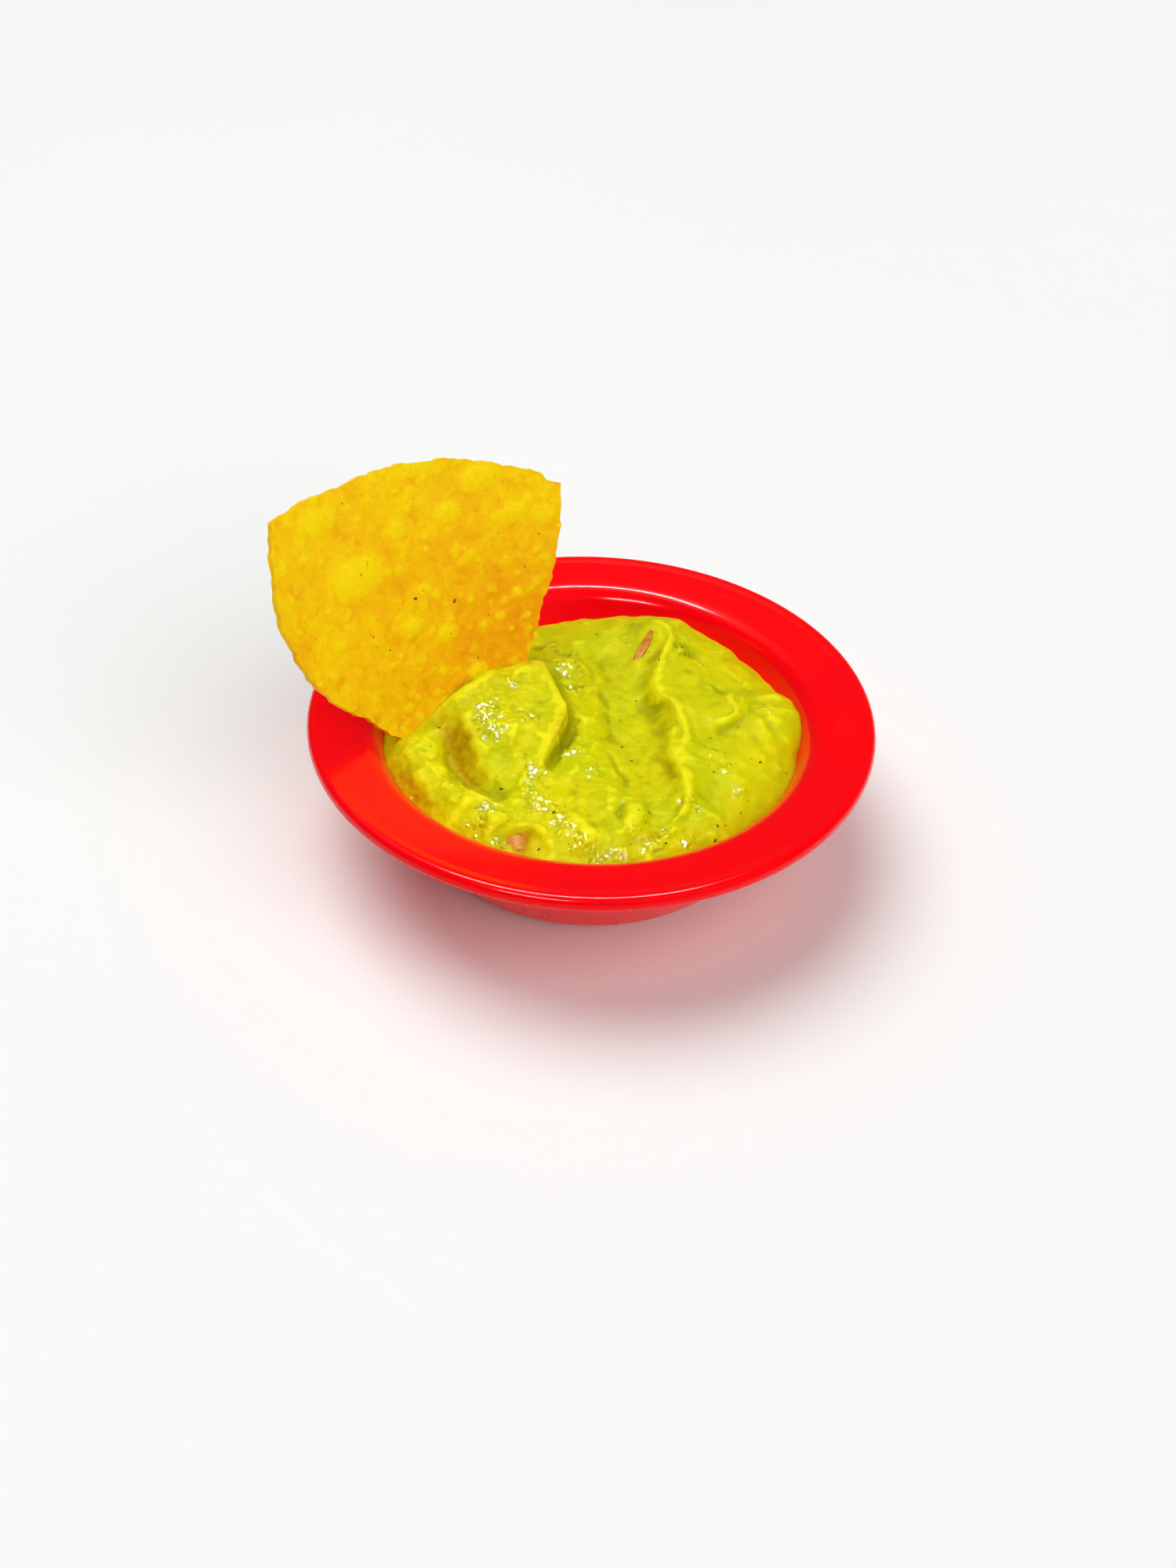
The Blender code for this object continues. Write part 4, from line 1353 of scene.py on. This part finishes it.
# %% Leaf flecks
sliver = lumpy_crumb(1, (1.0, 0.55, 0.16), 0.22, 2)
FLECK_PLACES = (
    (35.1, -12.6, 0.62),
    (25.2, -17.2, 0.50),
    (-6.8, -30.4, 0.72),
    (-17.8, -21.8, 0.62),
    (-13.4, -14.0, 0.34),
    (15.2, -36.6, 0.45),
    (25.6, -31.0, 0.50),
    (27.2, -30.4, 0.40),
    (25.0, -34.2, 0.62),
    (-31.8, -6.2, 0.60),
    (-33.0, -11.8, 0.42),
    (6.2, 3.0, 0.45),
    (6.6, -6.6, 0.60),
    (14.6, 19.8, 0.45),
    (-9.4, -38.8, 0.55),
    (8.6, 36.2, 0.60),
    (16.4, -3.4, 0.36),
    (8.6, -11.0, 0.55),
    (25.0, -5.8, 0.40),
    (31.0, -1.6, 0.34),
    (12.0, -29.0, 0.50),
    (10.0, -29.8, 0.36),
    (9.6, 9.6, 0.40),
    (-15.4, 22.0, 0.50),
    (-24.6, 11.0, 0.34),
    (-19.0, 11.8, 0.40),
    (0.4, 32.6, 0.45),
    (30.4, -26.4, 0.36),
    (33.6, 9.0, 0.34),
    (40.6, -13.4, 0.36),
)
SCATTERED_FLECKS = 90
SCATTER_REACH = 40.0
ROOM_BEFORE_CHIP = 1.5
FLECK_RISE = 0.015 * MM

random.seed(11)
flecks = list(FLECK_PLACES)
while len(flecks) < len(FLECK_PLACES) + SCATTERED_FLECKS:
    x, y = random.uniform(-SCATTER_REACH, SCATTER_REACH), random.uniform(-SCATTER_REACH, SCATTER_REACH)
    before_chip = (x + 28.6) * level_out.x + (y - 5.7) * level_out.y
    behind_chip = before_chip < ROOM_BEFORE_CHIP
    if math.hypot(x, y) < SCATTER_REACH and not behind_chip:
        flecks.append((x, y, random.uniform(0.12, 0.30)))

fleck_pieces = []
for x, y, half_size in flecks:
    place, normal = drop_onto(guacamole, x, y)
    heading = random.uniform(0.0, 360.0)
    length = half_size * random.uniform(0.9, 1.3)
    size = (length * MM, half_size * 0.9 * MM, half_size * MM)
    fleck_pieces.append(copy_to(sliver, place + normal * FLECK_RISE, turned_to(normal, heading), size))

leaf = Finish("chopped_leaf")
veins = leaf.noise(0.5 * MM)
leaf.link(leaf.mix(leaf.span(veins, 0.3, 0.7), paint(40, 66, 0), paint(84, 100, 0)), "Base Color")
leaf.link(leaf.span(veins, 0.3, 0.7, 0.3, 0.5), "Roughness")
leaf.set(Specular_IOR_Level=0.15)
join_copies(sliver, fleck_pieces, "leaf_flecks", leaf.material)

# %% [markdown]
# The last bits are orange pepper, almost the colour of the paste, mostly along the far edge.

# %% Orange pepper bits
bit = lumpy_crumb(2, (1.0, 0.8, 0.6), 0.14, 9)
ORANGE_PLACES = (
    (25.0, -0.6, 0.85),
    (30.6, 24.6, 0.95),
    (27.4, 27.6, 0.90),
    (33.0, 20.0, 0.60),
    (25.8, 29.6, 0.55),
    (-35.8, -24.0, 0.85),
    (-38.0, -15.0, 0.60),
    (-26.4, -1.4, 0.50),
    (20.0, 3.2, 0.35),
    (-29.0, -29.6, 0.50),
)
ORANGE_SUNK_SHARE = 0.42

orange_pieces = []
for x, y, half_size in ORANGE_PLACES:
    place, normal = drop_onto(guacamole, x, y)
    sunk = normal * half_size * ORANGE_SUNK_SHARE * MM
    orange_pieces.append(copy_to(bit, place - sunk, turned_to(normal, x * 40.0), [half_size * MM] * 3))

orange_pepper = Finish("orange_pepper")
tint = orange_pepper.noise(0.8 * MM)
orange_skin = orange_pepper.mix(
    orange_pepper.span(tint, 0.3, 0.7), paint(250, 184, 4), paint(236, 206, 6)
)
orange_pepper.link(orange_skin, "Base Color")
orange_pepper.link(orange_pepper.span(tint, 0.3, 0.7, 0.25, 0.4), "Roughness")
orange_pepper.set(Subsurface_Weight=0.2, Subsurface_Radius=(1.0, 0.7, 0.1), Subsurface_Scale=0.8 * MM)
join_copies(bit, orange_pieces, "orange_pepper_bits", orange_pepper.material)

# %% [markdown]
# The chip has its own specks: bits of hull that scorched in the fryer. Two are plain to see in the
# middle of the face, and the rest are pinpricks. They are slivers again, laid on the chip's face
# by rays that go in along the way it leans.

# %% Scorched specks on the chip
speck = lumpy_crumb(1, (1.0, 0.7, 0.2), 0.2, 4)
SPECK_PLACES = (
    (-4.0, 22.0, 0.74),
    (5.0, 18.1, 0.80),
    (-1.6, 22.8, 0.30),
    (-15.0, 31.2, 0.36),
    (-12.6, 32.6, 0.30),
    (1.6, 12.0, 0.34),
    (-4.0, 7.2, 0.28),
    (6.4, 4.6, 0.40),
    (-7.6, -3.4, 0.34),
    (29.4, 40.0, 0.36),
    (23.6, 19.0, 0.40),
    (12.0, 12.2, 0.30),
    (8.6, 47.6, 0.42),
    (-13.6, 45.6, 0.34),
    (-16.6, 18.4, 0.34),
    (-13.8, 14.4, 0.36),
    (29.0, 24.6, 0.34),
    (1.0, 33.0, 0.26),
    (-20.0, 24.0, 0.26),
)
SCATTERED_SPECKS = 60
RAY_RUN = 40.0 * MM

random.seed(23)
specks = list(SPECK_PLACES)
for _ in range(SCATTERED_SPECKS):
    specks.append((random.uniform(-32.0, 32.0), random.uniform(-12.0, 46.0), random.uniform(0.12, 0.26)))

speck_pieces = []
for u_place, v_place, half_size in specks:
    start = CHIP_PIVOT + chip_across * u_place * MM + chip_up * v_place * MM + chip_out * RAY_RUN
    hit, place, normal, _ = corn_chip.ray_cast(start, -chip_out)
    if hit:
        spin = Matrix.Rotation(random.uniform(0.0, math.tau), 4, "Z")
        lying = normal.to_track_quat("Z", "Y").to_matrix().to_4x4() @ spin
        speck_pieces.append(copy_to(speck, place, lying, [half_size * MM] * 3))

scorch = Finish("scorched_hull")
char = scorch.noise(0.4 * MM)
scorch.link(scorch.mix(scorch.span(char, 0.3, 0.7), paint(96, 40, 4), paint(150, 84, 6)), "Base Color")
scorch.link(scorch.span(char, 0.3, 0.7, 0.5, 0.7), "Roughness")
join_copies(speck, speck_pieces, "scorched_specks", scorch.material)
